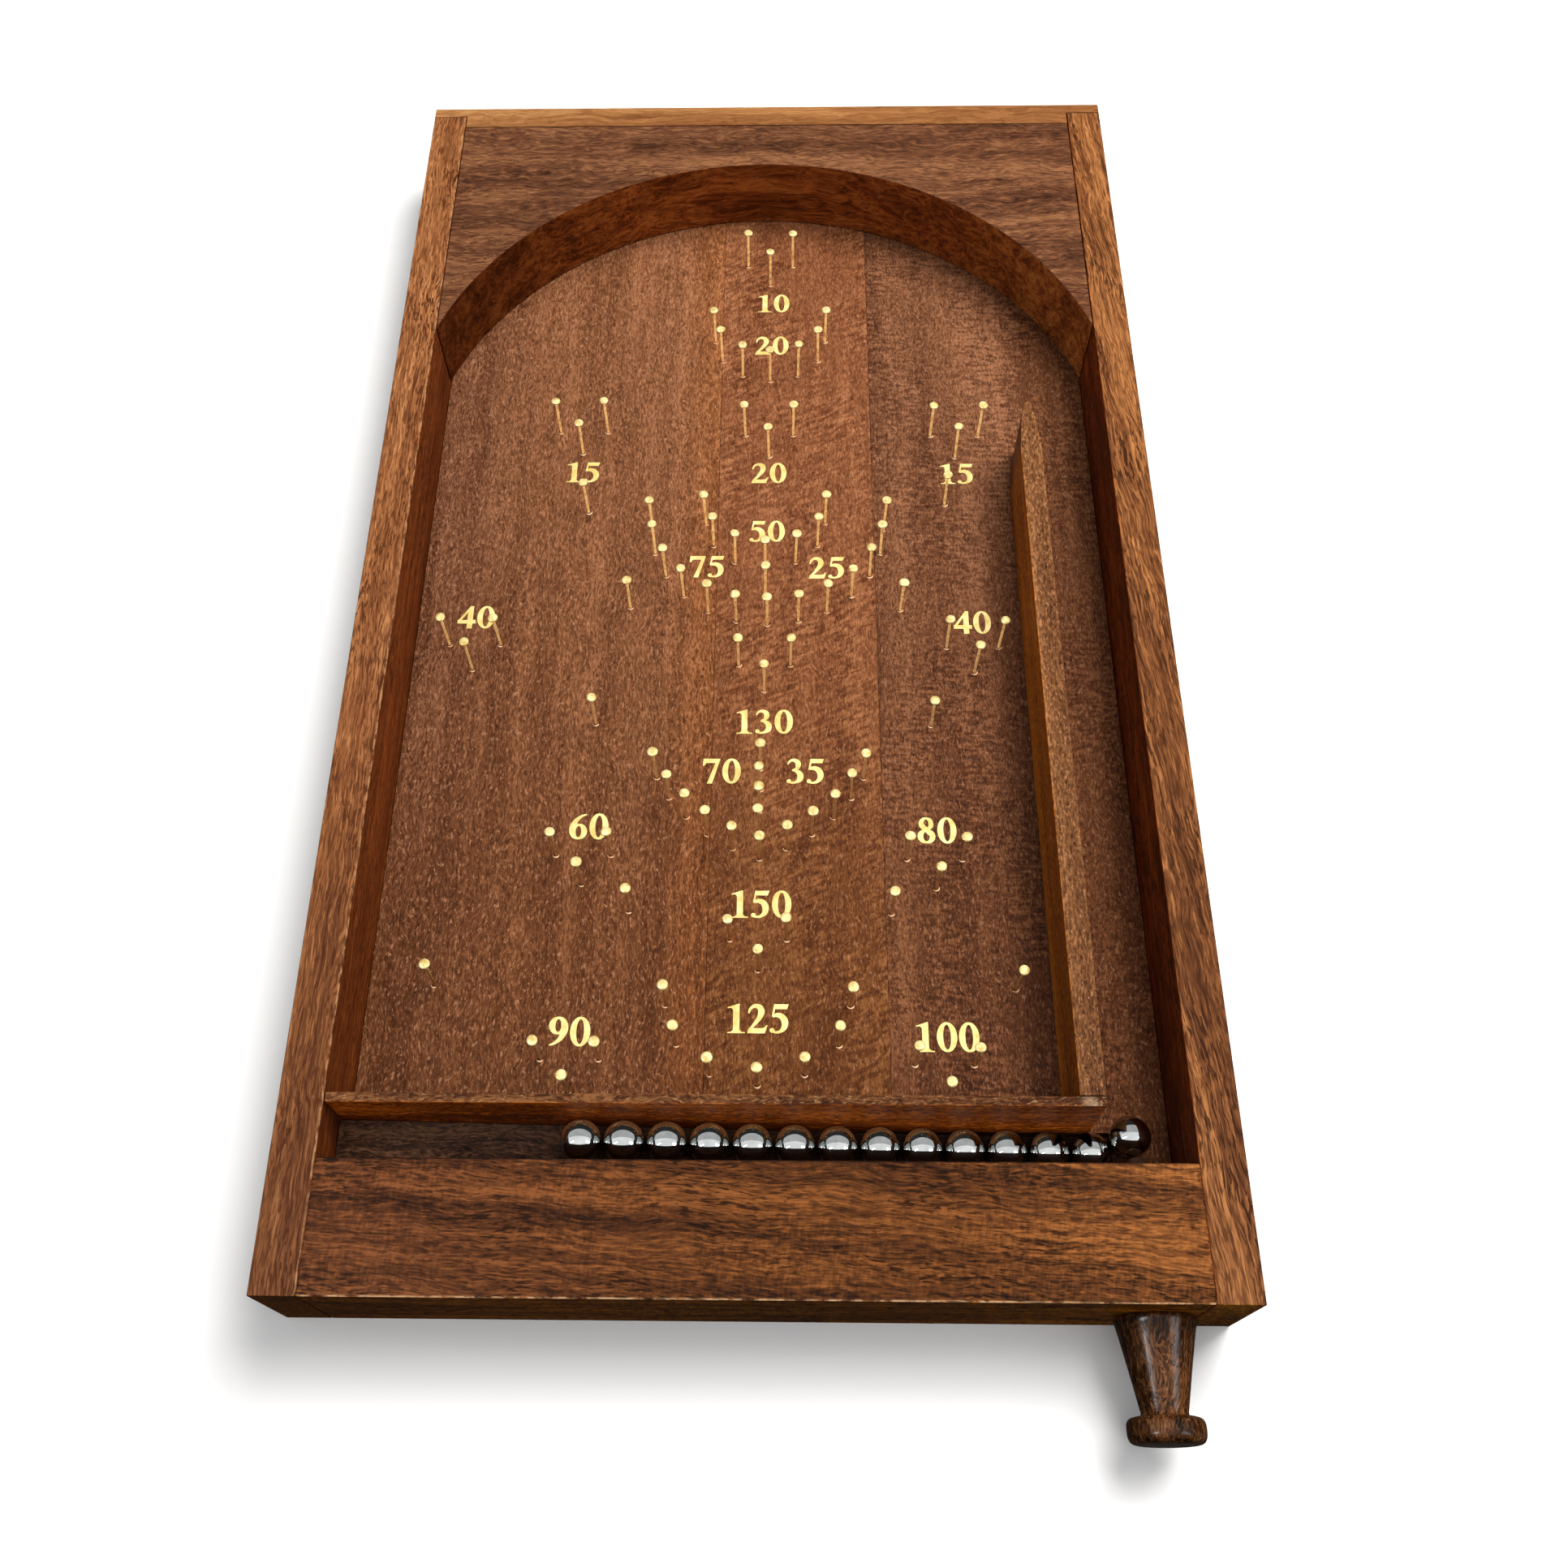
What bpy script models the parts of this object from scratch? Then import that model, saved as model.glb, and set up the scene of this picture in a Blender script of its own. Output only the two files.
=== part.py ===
"""Wooden tabletop bagatelle board: a pinned tray with a ball trough and a spring plunger.

The origin is the centre of the tray's underside. +X is right, +Y is away from the player, +Z is up.
"""
import math

import bmesh
import bpy
from mathutils import Matrix, Vector

MM = 0.001
GAP = 0.3 * MM  # clearance between neighbouring pieces
OVERRUN = 5.0 * MM  # how far a bore cutter runs past the wood

# Case
WIDTH = 240.0 * MM
LENGTH = 415.0 * MM
HEIGHT = 33.5 * MM
RAIL_T = 11.5 * MM
FRONT_RAIL_DEPTH = 33.0 * MM
BACK_RAIL_T = 9.5 * MM
BACK_LAP = 4.0 * MM  # the back rail covers the ends of the side rails
PANEL_T = 2.5 * MM
PANEL_REBATE = 4.0 * MM
PANEL_FRONT_REBATE = 9.5 * MM

# Playfield
FIELD_Z = 8.0 * MM
FIELD_UNDER_Z = 3.7 * MM
SEAM_LEFT_X = -14.5 * MM
SEAM_RIGHT_X = 36.0 * MM
ARCH_CENTRE_Y = 63.0 * MM
ARCH_R = 114.5 * MM
ARCH_STEPS = 36

# Lane divider, cross strip and trough
TROUGH_W = 14.0 * MM
STRIP_T = 2.4 * MM
DIVIDER_LEFT_X = 81.0 * MM
DIVIDER_RIGHT_X = 87.6 * MM
DIVIDER_TIP_Y = 68.0 * MM
DIVIDER_TAPER = 19.0 * MM
DIVIDER_TIP_W = 1.6 * MM
RAMP_END_X = 92.7 * MM
RAMP_LOW_Z = 3.6 * MM
RAMP_SLOPE = 0.07
LANE_FLOOR_X = 93.0 * MM  # the right board runs on to the front rail from here

# Balls
BALL_R = 5.4 * MM
BALL_PITCH = 11.0 * MM
ROW_COUNT = 13
ROW_END_X = 87.0 * MM
ROW_Y = -166.4 * MM
LANE_BALL = Vector((96.8 * MM, -163.0 * MM, FIELD_Z + GAP + BALL_R))

# Plunger
PLUNGER_X = 97.8 * MM
PLUNGER_Z = 15.0 * MM
KNOB_LENGTH = 29.2 * MM
KNOB_BASE_R = 9.9 * MM
KNOB_NECK_R = 5.6 * MM
KNOB_NECK_AT = 22.6 * MM
KNOB_BEAD_R = 9.3 * MM
KNOB_BORE_DEPTH = 14.0 * MM
ROD_R = 3.0 * MM
ROD_TIP_Y = -169.0 * MM
CHAMBER_R = 6.0 * MM
CHAMBER_FRONT_Y = -200.0 * MM
COLLAR_R = 5.4 * MM
COLLAR_T = 2.4 * MM
COLLAR_Y = -177.6 * MM
SPRING_R = 4.35 * MM
WIRE_R = 0.45 * MM
SPRING_TURNS = 6
TURN_POINTS = 12

# Pins
PIN_R = 0.6 * MM
PIN_HEAD_R = 1.6 * MM
PIN_HEAD_T = 0.8 * MM
PIN_TOP_Z = 23.5 * MM
PIN_FOOT_Z = 2.9 * MM
PIN_HOLE_R = 0.95 * MM
PIN_SIDES = 6
STRAP_W = 1.5 * MM
STRAP_H = 0.5 * MM
STRAP_Z = 2.8 * MM
V_HALF = 8.0 * MM
V_DROP = 9.2 * MM

FRONT_Y = -LENGTH / 2
BACK_Y = LENGTH / 2
SIDE_X = WIDTH / 2 - RAIL_T
TROUGH_FRONT_Y = FRONT_Y + FRONT_RAIL_DEPTH
TROUGH_BACK_Y = TROUGH_FRONT_Y + TROUGH_W
BACK_RAIL_Y = BACK_Y - BACK_RAIL_T
BOARD_X = SIDE_X - GAP
BOARD_BACK_Y = BACK_RAIL_Y - GAP

# Middle of the two upper pins of each three-pin pocket, in millimetres
V_POCKETS = {
    "10": (2.0, 155.0),
    "15_left": (-60.5, 78.0),
    "15_right": (64.0, 76.0),
    "20": (2.0, 76.5),
    "40_left": (-89.5, -7.5),
    "40_right": (65.5, -8.5),
    "60": (-51.0, -80.0),
    "80": (50.5, -81.0),
    "90": (-51.0, -141.0),
    "100": (50.5, -142.0),
    "130": (1.0, -15.0),
    "150": (0.0, -106.0),
}

# Centre, half width, depth, number of pins and how far the curve leans to a V, in millimetres
CUPS = {
    "20": (2.2, 118.5, 19.0, 18.0, 7, 0.0),
    "50": (1.0, 39.5, 19.3, 18.0, 7, 0.0),
    "25_75": (1.8, 37.0, 37.5, 37.0, 13, 0.0),
    "35_70": (0.0, -54.5, 30.7, 26.5, 11, 0.5),
    "125": (0.0, -125.5, 25.5, 22.5, 7, 0.0),
}

COLUMN_TOP = (0.0, -51.5)
COLUMN_STEP = 7.0
COLUMN_COUNT = 4

SINGLE_PINS = {
    "centre": (1.0, 11.5),
    "cup_left": (-41.5, 6.5),
    "cup_right": (43.5, 5.5),
    "upper_left": (-57.0, 44.0),
    "upper_right": (59.5, 47.0),
    "middle_left": (-50.0, -36.0),
    "middle_right": (51.5, -36.5),
    "lower_left": (-90.0, -120.0),
    "lower_right": (71.0, -120.5),
    "below_60": (-37.0, -97.5),
    "below_80": (37.5, -98.0),
}


def clear_scene():
    for obj in list(bpy.data.objects):
        bpy.data.objects.remove(obj, do_unlink=True)


def new_collection(name):
    collection = bpy.data.collections.new(name)
    bpy.context.scene.collection.children.link(collection)
    return collection


def new_material(name, color, roughness, metallic=0.0):
    material = bpy.data.materials.new(name)
    material.use_nodes = True
    shader = material.node_tree.nodes["Principled BSDF"]
    shader.inputs["Base Color"].default_value = (*color, 1.0)
    shader.inputs["Roughness"].default_value = roughness
    shader.inputs["Metallic"].default_value = metallic
    return material


def mesh_from(bm, name):
    mesh = bpy.data.meshes.new(name)
    bm.to_mesh(mesh)
    bm.free()
    return mesh


def add_object(name, mesh, collection, material=None, location=(0, 0, 0)):
    obj = bpy.data.objects.new(name, mesh)
    obj.location = location
    collection.objects.link(obj)
    if material:
        obj.data.materials.append(material)
    return obj


def box_mesh(name, low, high):
    low, high = Vector(low), Vector(high)
    bm = bmesh.new()
    size = Matrix.Diagonal((*(high - low), 1.0))
    bmesh.ops.create_cube(bm, size=1.0, matrix=Matrix.Translation((low + high) / 2) @ size)
    return mesh_from(bm, name)


def add_box(name, low, high, collection, material=None):
    return add_object(name, box_mesh(name, low, high), collection, material)


def hide_cutter(obj):
    obj.hide_render = True
    obj.display_type = "WIRE"
    return obj


def cut(obj, cutter):
    modifier = obj.modifiers.new(f"cut_{cutter.name}", "BOOLEAN")
    modifier.operation = "DIFFERENCE"
    modifier.object = cutter


def outline_mesh(name, points, low, high):
    """Flat outline in XY, filled and extruded from height low to height high."""
    curve = bpy.data.curves.new(name, "CURVE")
    curve.dimensions = "2D"
    curve.fill_mode = "BOTH"
    curve.extrude = (high - low) / 2
    spline = curve.splines.new("POLY")
    spline.points.add(len(points) - 1)
    for point, (x, y) in zip(spline.points, points):
        point.co = (x, y, 0.0, 1.0)
    spline.use_cyclic_u = True
    return curve_to_mesh(name, curve, Matrix.Translation((0, 0, (low + high) / 2)))


def curve_to_mesh(name, curve, placement):
    source = bpy.data.objects.new(f"{name}_curve", curve)
    bpy.context.scene.collection.objects.link(source)
    graph = bpy.context.evaluated_depsgraph_get()
    mesh = bpy.data.meshes.new_from_object(source.evaluated_get(graph))
    bpy.data.objects.remove(source, do_unlink=True)
    mesh.name = name
    bm = bmesh.new()
    bm.from_mesh(mesh)
    bmesh.ops.remove_doubles(bm, verts=bm.verts, dist=0.01 * MM)
    bm.to_mesh(mesh)
    bm.free()
    mesh.transform(placement)
    return mesh


def add_turned(name, profile, steps, collection, material=None):
    """Turn a profile of (radius, distance) points about the plunger axis.

    Distance runs towards the player from the front rail's outer face. A profile whose last point
    repeats its first is a ring.
    """
    bm = bmesh.new()
    ring = profile[0] == profile[-1]
    points = profile[:-1] if ring else profile
    verts = [bm.verts.new((radius, 0.0, distance)) for radius, distance in points]
    for first, second in zip(verts, verts[1:] + verts[:1] if ring else verts[1:]):
        bm.edges.new((first, second))
    location = (PLUNGER_X, FRONT_Y, PLUNGER_Z)
    obj = add_object(name, mesh_from(bm, name), collection, material, location)
    obj.rotation_euler = (math.radians(90), 0, 0)
    screw = obj.modifiers.new("turn", "SCREW")
    screw.steps = steps
    screw.render_steps = steps
    screw.use_merge_vertices = True
    screw.merge_threshold = 0.00001
    screw.use_smooth_shade = True
    return obj


def arc_points(centre, radius, start_deg, end_deg, steps):
    angles = [math.radians(start_deg + (end_deg - start_deg) * i / steps) for i in range(steps + 1)]
    return [(centre[0] + radius * math.cos(a), centre[1] + radius * math.sin(a)) for a in angles]


def build_case(parts, cutters, wood):
    """Side, front and back rails, rebated underneath for the bottom panel."""
    panel_x = SIDE_X + PANEL_REBATE - GAP
    panel_front = TROUGH_FRONT_Y - PANEL_FRONT_REBATE
    panel_back = BACK_RAIL_Y + PANEL_REBATE
    rebate = hide_cutter(add_box("rebate_cutter", (-panel_x - GAP, panel_front - GAP, -PANEL_T),
                                 (panel_x + GAP, panel_back + GAP, PANEL_T + GAP), cutters))
    side_end = BACK_Y - BACK_LAP - GAP
    left = add_box("side_rail_left", (-WIDTH / 2, FRONT_Y, 0), (-SIDE_X, side_end, HEIGHT), parts, wood["rail"])
    right = add_box("side_rail_right", (SIDE_X, FRONT_Y, 0), (WIDTH / 2, side_end, HEIGHT), parts, wood["rail"])
    front = add_box("front_rail", (-BOARD_X, FRONT_Y, 0), (BOARD_X, TROUGH_FRONT_Y, HEIGHT), parts, wood["front"])
    back = add_box("back_rail", (-WIDTH / 2, BACK_RAIL_Y, 0), (WIDTH / 2, BACK_Y, HEIGHT), parts, wood["back"])
    for name, inner, outer in (("left", -BOARD_X, -WIDTH / 2 - MM), ("right", BOARD_X, WIDTH / 2 + MM)):
        low = (min(inner, outer), BACK_RAIL_Y - MM, -MM)
        high = (max(inner, outer), BACK_Y - BACK_LAP, HEIGHT + MM)
        cut(back, hide_cutter(add_box(f"lap_cutter_{name}", low, high, cutters)))
    for rail in (left, right, front, back):
        cut(rail, rebate)
    bore_end = -FRONT_RAIL_DEPTH - OVERRUN
    bore = [(0, OVERRUN), (ROD_R + GAP, OVERRUN), (ROD_R + GAP, bore_end), (0, bore_end)]
    cut(front, hide_cutter(add_turned("rod_bore_cutter", bore, 16, cutters)))
    chamber_front = FRONT_Y - CHAMBER_FRONT_Y
    chamber = [(0, chamber_front), (CHAMBER_R, chamber_front), (CHAMBER_R, bore_end), (0, bore_end)]
    cut(front, hide_cutter(add_turned("chamber_cutter", chamber, 20, cutters)))
    add_box("bottom_panel", (-panel_x, panel_front, 0), (panel_x, panel_back, PANEL_T), parts, wood["panel"])


def build_playfield(parts, pin_holes, wood):
    """Three boards side by side; the right one also floors the launch lane."""
    seam = GAP / 2
    left = [(-BOARD_X, TROUGH_BACK_Y), (SEAM_LEFT_X - seam, TROUGH_BACK_Y),
            (SEAM_LEFT_X - seam, BOARD_BACK_Y), (-BOARD_X, BOARD_BACK_Y)]
    centre = [(SEAM_LEFT_X + seam, TROUGH_BACK_Y), (SEAM_RIGHT_X - seam, TROUGH_BACK_Y),
              (SEAM_RIGHT_X - seam, BOARD_BACK_Y), (SEAM_LEFT_X + seam, BOARD_BACK_Y)]
    right = [(SEAM_RIGHT_X + seam, TROUGH_BACK_Y), (LANE_FLOOR_X, TROUGH_BACK_Y),
             (LANE_FLOOR_X, TROUGH_FRONT_Y + GAP), (BOARD_X, TROUGH_FRONT_Y + GAP),
             (BOARD_X, BOARD_BACK_Y), (SEAM_RIGHT_X + seam, BOARD_BACK_Y)]
    for side, outline in (("left", left), ("centre", centre), ("right", right)):
        name = f"playfield_{side}"
        board = add_object(name, outline_mesh(name, outline, FIELD_UNDER_Z, FIELD_Z), parts, wood[name])
        cut(board, pin_holes)


def build_arch_block(parts, wood):
    """Block with a round inner face that turns the ball at the far end."""
    end_deg = math.degrees(math.acos(BOARD_X / ARCH_R))
    arc = arc_points((0, ARCH_CENTRE_Y), ARCH_R, end_deg, 180 - end_deg, ARCH_STEPS)
    outline = arc + [(-BOARD_X, BOARD_BACK_Y), (BOARD_X, BOARD_BACK_Y)]
    mesh = outline_mesh("arch_block", outline, FIELD_Z + GAP, HEIGHT)
    add_object("arch_block", mesh, parts, wood["arch"])


def build_dividers(parts, wood):
    """Lane divider with a tapered far end, and the strip across the near end of the field."""
    middle = (DIVIDER_LEFT_X + DIVIDER_RIGHT_X) / 2
    near = TROUGH_BACK_Y + STRIP_T + GAP
    shoulder = DIVIDER_TIP_Y - DIVIDER_TAPER
    waist = DIVIDER_TIP_Y - DIVIDER_TAPER / 3
    outline = [(DIVIDER_LEFT_X, near), (DIVIDER_RIGHT_X, near), (DIVIDER_RIGHT_X, shoulder),
               (middle + DIVIDER_TIP_W * 1.4, waist), (middle + DIVIDER_TIP_W / 2, DIVIDER_TIP_Y),
               (middle - DIVIDER_TIP_W / 2, DIVIDER_TIP_Y), (middle - DIVIDER_TIP_W * 1.4, waist),
               (DIVIDER_LEFT_X, shoulder)]
    mesh = outline_mesh("lane_divider", outline, FIELD_Z + GAP, HEIGHT)
    add_object("lane_divider", mesh, parts, wood["divider"])
    add_box("trough_strip", (-BOARD_X, TROUGH_BACK_Y, FIELD_Z + GAP),
            (DIVIDER_RIGHT_X, TROUGH_BACK_Y + STRIP_T, HEIGHT), parts, wood["strip"])


def ramp_z(x):
    return RAMP_LOW_Z + RAMP_SLOPE * (RAMP_END_X - x)


def build_trough_ramp(parts, wood):
    """Wedge that floors the trough and falls to the right."""
    low = PANEL_T + GAP
    ramp = add_box("trough_ramp", (-BOARD_X, TROUGH_FRONT_Y + GAP, low),
                   (RAMP_END_X, TROUGH_BACK_Y - GAP, RAMP_LOW_Z), parts, wood["ramp"])
    for vert in ramp.data.vertices:
        if vert.co.z > (low + RAMP_LOW_Z) / 2:
            vert.co.z = ramp_z(vert.co.x)


def build_balls(parts, steel):
    """A row of balls resting in the trough and one in the mouth of the lane."""
    bm = bmesh.new()
    bmesh.ops.create_uvsphere(bm, u_segments=12, v_segments=8, radius=BALL_R)
    mesh = mesh_from(bm, "ball")
    mesh.materials.append(steel)
    mesh.shade_smooth()
    clearance = (BALL_R + GAP) * math.hypot(1, RAMP_SLOPE)
    for index in range(ROW_COUNT):
        x = ROW_END_X - BALL_PITCH * (ROW_COUNT - 1 - index)
        place = (x, ROW_Y, ramp_z(x) + clearance)
        add_object(f"ball_{index + 1:02d}", mesh, parts, location=place)
    add_object("ball_lane", mesh, parts, location=LANE_BALL)


def build_plunger(parts, wood, metal):
    """Turned knob, rod, collar and return spring on one sliding axis."""
    bead_end = KNOB_LENGTH
    bead_start = KNOB_NECK_AT
    soft = 1.6 * MM
    knob = [(0, bead_end), (KNOB_BEAD_R - 2 * soft, bead_end), (KNOB_BEAD_R - soft / 2, bead_end - soft / 2),
            (KNOB_BEAD_R, bead_end - soft * 1.5), (KNOB_BEAD_R, bead_start + soft * 1.2),
            (KNOB_BEAD_R - soft / 2, bead_start + soft / 3), (KNOB_NECK_R + soft / 2, bead_start),
            (KNOB_NECK_R, bead_start - soft / 4), (KNOB_BASE_R, GAP), (ROD_R + GAP, GAP),
            (ROD_R + GAP, KNOB_BORE_DEPTH), (0, KNOB_BORE_DEPTH)]
    add_turned("plunger_knob", knob, 24, parts, wood["knob"])
    tip = FRONT_Y - ROD_TIP_Y
    rod = [(0, KNOB_BORE_DEPTH - GAP), (ROD_R, KNOB_BORE_DEPTH - GAP), (ROD_R, tip + 1.0 * MM),
           (ROD_R * 0.6, tip), (0, tip)]
    add_turned("plunger_rod", rod, 16, parts, wood["rod"])
    collar_near = FRONT_Y - COLLAR_Y
    collar_far = collar_near - COLLAR_T
    collar = [(ROD_R + GAP, collar_near), (COLLAR_R, collar_near), (COLLAR_R, collar_far),
              (ROD_R + GAP, collar_far), (ROD_R + GAP, collar_near)]
    add_turned("plunger_collar", collar, 20, parts, metal["brass"])
    build_spring(parts, metal["spring"])


def build_spring(parts, steel):
    """Compression spring between the chamber's front shoulder and the collar."""
    start = CHAMBER_FRONT_Y + WIRE_R + GAP
    end = COLLAR_Y - WIRE_R - GAP
    count = SPRING_TURNS * TURN_POINTS + 1
    curve = bpy.data.curves.new("plunger_spring", "CURVE")
    curve.dimensions = "3D"
    curve.bevel_depth = WIRE_R
    curve.bevel_resolution = 2
    curve.use_fill_caps = True
    spline = curve.splines.new("POLY")
    spline.points.add(count - 1)
    for index, point in enumerate(spline.points):
        turn = math.tau * index / TURN_POINTS
        along = start + (end - start) * index / (count - 1)
        point.co = (SPRING_R * math.cos(turn), along, SPRING_R * math.sin(turn), 1.0)
    mesh = curve_to_mesh("plunger_spring", curve, Matrix())
    mesh.shade_smooth()
    add_object("plunger_spring", mesh, parts, steel, (PLUNGER_X, 0, PLUNGER_Z))


def v_pocket(centre):
    x, y = centre[0] * MM, centre[1] * MM
    return [(x - V_HALF, y), (x, y - V_DROP), (x + V_HALF, y)]


def cup(centre_x, centre_y, half_width, depth, count, lean):
    """Pins down one side of a cup and up the other, between an ellipse and a straight V."""
    points = []
    for index in range(count):
        side = 2 * index / (count - 1) - 1
        step = 1 - abs(side)
        across = (1 - lean) * math.cos(step * math.pi / 2) + lean * (1 - step)
        down = (1 - lean) * math.sin(step * math.pi / 2) + lean * step
        x = centre_x + math.copysign(half_width * across, side)
        points.append((x * MM, (centre_y - depth * down) * MM))
    return points


def pin_groups():
    groups = {f"pins_v{name}": v_pocket(centre) for name, centre in V_POCKETS.items()}
    groups.update({f"pins_cup{name}": cup(*shape) for name, shape in CUPS.items()})
    column = [(COLUMN_TOP[0] * MM, (COLUMN_TOP[1] - COLUMN_STEP * i) * MM) for i in range(COLUMN_COUNT)]
    groups["pins_column"] = column
    groups.update({f"pin_{name}": [(x * MM, y * MM)] for name, (x, y) in SINGLE_PINS.items()})
    return groups


def add_ring(bm, radius, x, y, z):
    angles = [math.tau * i / PIN_SIDES for i in range(PIN_SIDES)]
    return [bm.verts.new((x + radius * math.cos(a), y + radius * math.sin(a), z)) for a in angles]


def pin_mesh(name, x, y):
    """Nail: a shaft with a low conical head, lofted ring by ring."""
    bm = bmesh.new()
    foot = add_ring(bm, PIN_R, x, y, PIN_FOOT_Z)
    neck = add_ring(bm, PIN_R, x, y, PIN_TOP_Z - PIN_HEAD_T)
    rim = add_ring(bm, PIN_HEAD_R, x, y, PIN_TOP_Z - PIN_HEAD_T * 0.7)
    top = bm.verts.new((x, y, PIN_TOP_Z))
    bm.faces.new(reversed(foot))
    for lower, upper in ((foot, neck), (neck, rim)):
        for i in range(PIN_SIDES):
            j = (i + 1) % PIN_SIDES
            bm.faces.new((lower[i], lower[j], upper[j], upper[i]))
    for i in range(PIN_SIDES):
        bm.faces.new((rim[i], rim[(i + 1) % PIN_SIDES], top))
    return mesh_from(bm, name)


def strap_mesh(name, start, end, lift):
    """Flat bar under the playfield from one pin's foot to the next."""
    start, end = Vector((*start, 0)), Vector((*end, 0))
    run = end - start
    bm = bmesh.new()
    place = Matrix.Translation((start + end) / 2 + Vector((0, 0, STRAP_Z + lift + STRAP_H / 2)))
    turn = Matrix.Rotation(math.atan2(run.y, run.x), 4, "Z")
    size = Matrix.Diagonal((run.length + STRAP_W, STRAP_W, STRAP_H, 1.0))
    bmesh.ops.create_cube(bm, size=1.0, matrix=place @ turn @ size)
    return mesh_from(bm, name)


def join_union(target, piece, cutters):
    tool = hide_cutter(add_object(f"{target.name}_join_{piece.name}", piece, cutters))
    modifier = target.modifiers.new("join", "BOOLEAN")
    modifier.operation = "UNION"
    modifier.object = tool


def build_pins(parts, cutters, brass):
    """Every pocket's pins are one solid, joined by a thin strap under the playfield."""
    for name, points in pin_groups().items():
        group = add_object(name, pin_mesh(name, *points[0]), parts, brass)
        for index, (start, end) in enumerate(zip(points, points[1:])):
            lift = (index % 2) * 0.1 * MM
            join_union(group, strap_mesh(f"strap_{index}", start, end, lift), cutters)
            join_union(group, pin_mesh(f"pin_{index}", *end), cutters)


def build_pin_holes(cutters):
    """One cutter with a hole for every pin."""
    bm = bmesh.new()
    depth = FIELD_Z - FIELD_UNDER_Z + 2 * MM
    middle = (FIELD_Z + FIELD_UNDER_Z) / 2
    for points in pin_groups().values():
        for x, y in points:
            bmesh.ops.create_cone(bm, cap_ends=True, segments=PIN_SIDES, radius1=PIN_HOLE_R,
                                  radius2=PIN_HOLE_R, depth=depth, matrix=Matrix.Translation((x, y, middle)))
    return hide_cutter(add_object("pin_hole_cutter", mesh_from(bm, "pin_holes"), cutters))


def main():
    clear_scene()
    parts = new_collection("bagatelle_board")
    cutters = new_collection("cutters")
    wood = {
        "rail": new_material("rail_wood", (0.36, 0.15, 0.06), 0.45),
        "front": new_material("front_wood", (0.38, 0.15, 0.05), 0.42),
        "back": new_material("back_wood", (0.62, 0.38, 0.17), 0.5),
        "panel": new_material("panel_wood", (0.45, 0.31, 0.18), 0.7),
        "arch": new_material("arch_wood", (0.22, 0.12, 0.08), 0.45),
        "divider": new_material("divider_wood", (0.42, 0.24, 0.11), 0.45),
        "strip": new_material("strip_wood", (0.34, 0.16, 0.06), 0.45),
        "ramp": new_material("ramp_wood", (0.05, 0.03, 0.02), 0.6),
        "knob": new_material("knob_wood", (0.20, 0.10, 0.05), 0.25),
        "rod": new_material("rod_wood", (0.42, 0.27, 0.15), 0.5),
        "playfield_left": new_material("field_wood_left", (0.30, 0.13, 0.06), 0.45),
        "playfield_centre": new_material("field_wood_centre", (0.33, 0.12, 0.05), 0.45),
        "playfield_right": new_material("field_wood_right", (0.25, 0.11, 0.06), 0.45),
    }
    metal = {
        "steel": new_material("ball_steel", (0.62, 0.62, 0.63), 0.08, 1.0),
        "spring": new_material("spring_steel", (0.45, 0.45, 0.46), 0.3, 1.0),
        "brass": new_material("pin_brass", (0.85, 0.62, 0.28), 0.25, 1.0),
    }
    build_case(parts, cutters, wood)
    build_playfield(parts, build_pin_holes(cutters), wood)
    build_arch_block(parts, wood)
    build_dividers(parts, wood)
    build_trough_ramp(parts, wood)
    build_balls(parts, metal["steel"])
    build_plunger(parts, wood, metal)
    build_pins(parts, cutters, metal["brass"])


main()
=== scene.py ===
import math
import random

import bmesh
import bpy
from mathutils import Euler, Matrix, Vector
from mathutils.geometry import delaunay_2d_cdt


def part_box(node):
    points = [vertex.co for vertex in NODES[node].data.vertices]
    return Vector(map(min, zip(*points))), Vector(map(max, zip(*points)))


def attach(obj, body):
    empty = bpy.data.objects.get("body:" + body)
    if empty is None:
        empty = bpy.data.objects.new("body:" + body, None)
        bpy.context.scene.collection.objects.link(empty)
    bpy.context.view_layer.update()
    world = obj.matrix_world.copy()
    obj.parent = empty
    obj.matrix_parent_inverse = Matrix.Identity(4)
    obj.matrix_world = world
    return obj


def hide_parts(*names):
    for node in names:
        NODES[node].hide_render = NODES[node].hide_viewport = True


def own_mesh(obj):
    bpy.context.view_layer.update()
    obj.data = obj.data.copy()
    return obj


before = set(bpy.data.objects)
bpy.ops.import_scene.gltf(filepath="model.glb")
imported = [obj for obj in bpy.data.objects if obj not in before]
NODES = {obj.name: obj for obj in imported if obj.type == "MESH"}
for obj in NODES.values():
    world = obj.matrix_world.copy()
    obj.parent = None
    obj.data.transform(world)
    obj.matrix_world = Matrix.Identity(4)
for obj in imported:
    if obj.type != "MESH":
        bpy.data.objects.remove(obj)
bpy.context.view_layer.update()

MM = 0.001
SCENE = bpy.context.scene

# places and sizes in millimetres, in the row frame
FIELD_Z = 8.0            # top of the playfield
FIELD_UNDER_Z = 3.7      # underside of the boards, above the bottom panel
FIELD_NEAR_Y = -160.5    # end of the field at the trough strip
LANE_NEAR_Y = -174.2     # end of the launch lane at the front rail
LANE_X = 93.0            # where the board reaches into the lane's mouth
INNER_X = 108.2          # inside of the side rails, less a gap
INNER_FAR_Y = 197.7      # inside of the back rail, less a gap
SEAMS_X = (-14.5, 36.0)  # seams between the three boards
SEAM_HALF = (0.04, 0.03)
RAIL_Z = 33.5            # top of the case
FRONT_Y = -207.5         # front face
ARCH_R, ARCH_CENTRE_Y, ARCH_LOW_Z = 114.5, 63.0, 8.3
PIN_TOP_Z = 23.5
PIN_FOOT_Z = 4.2
PIN_R = 0.4
PIN_SIDES = 20
PLUNGER_X, PLUNGER_Z = 97.8, 15.0
SPRING_R, SPRING_WIRE_R = 4.35, 0.45
BALL_R = 5.4


# ---------------------------------------------------------------- materials

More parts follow.
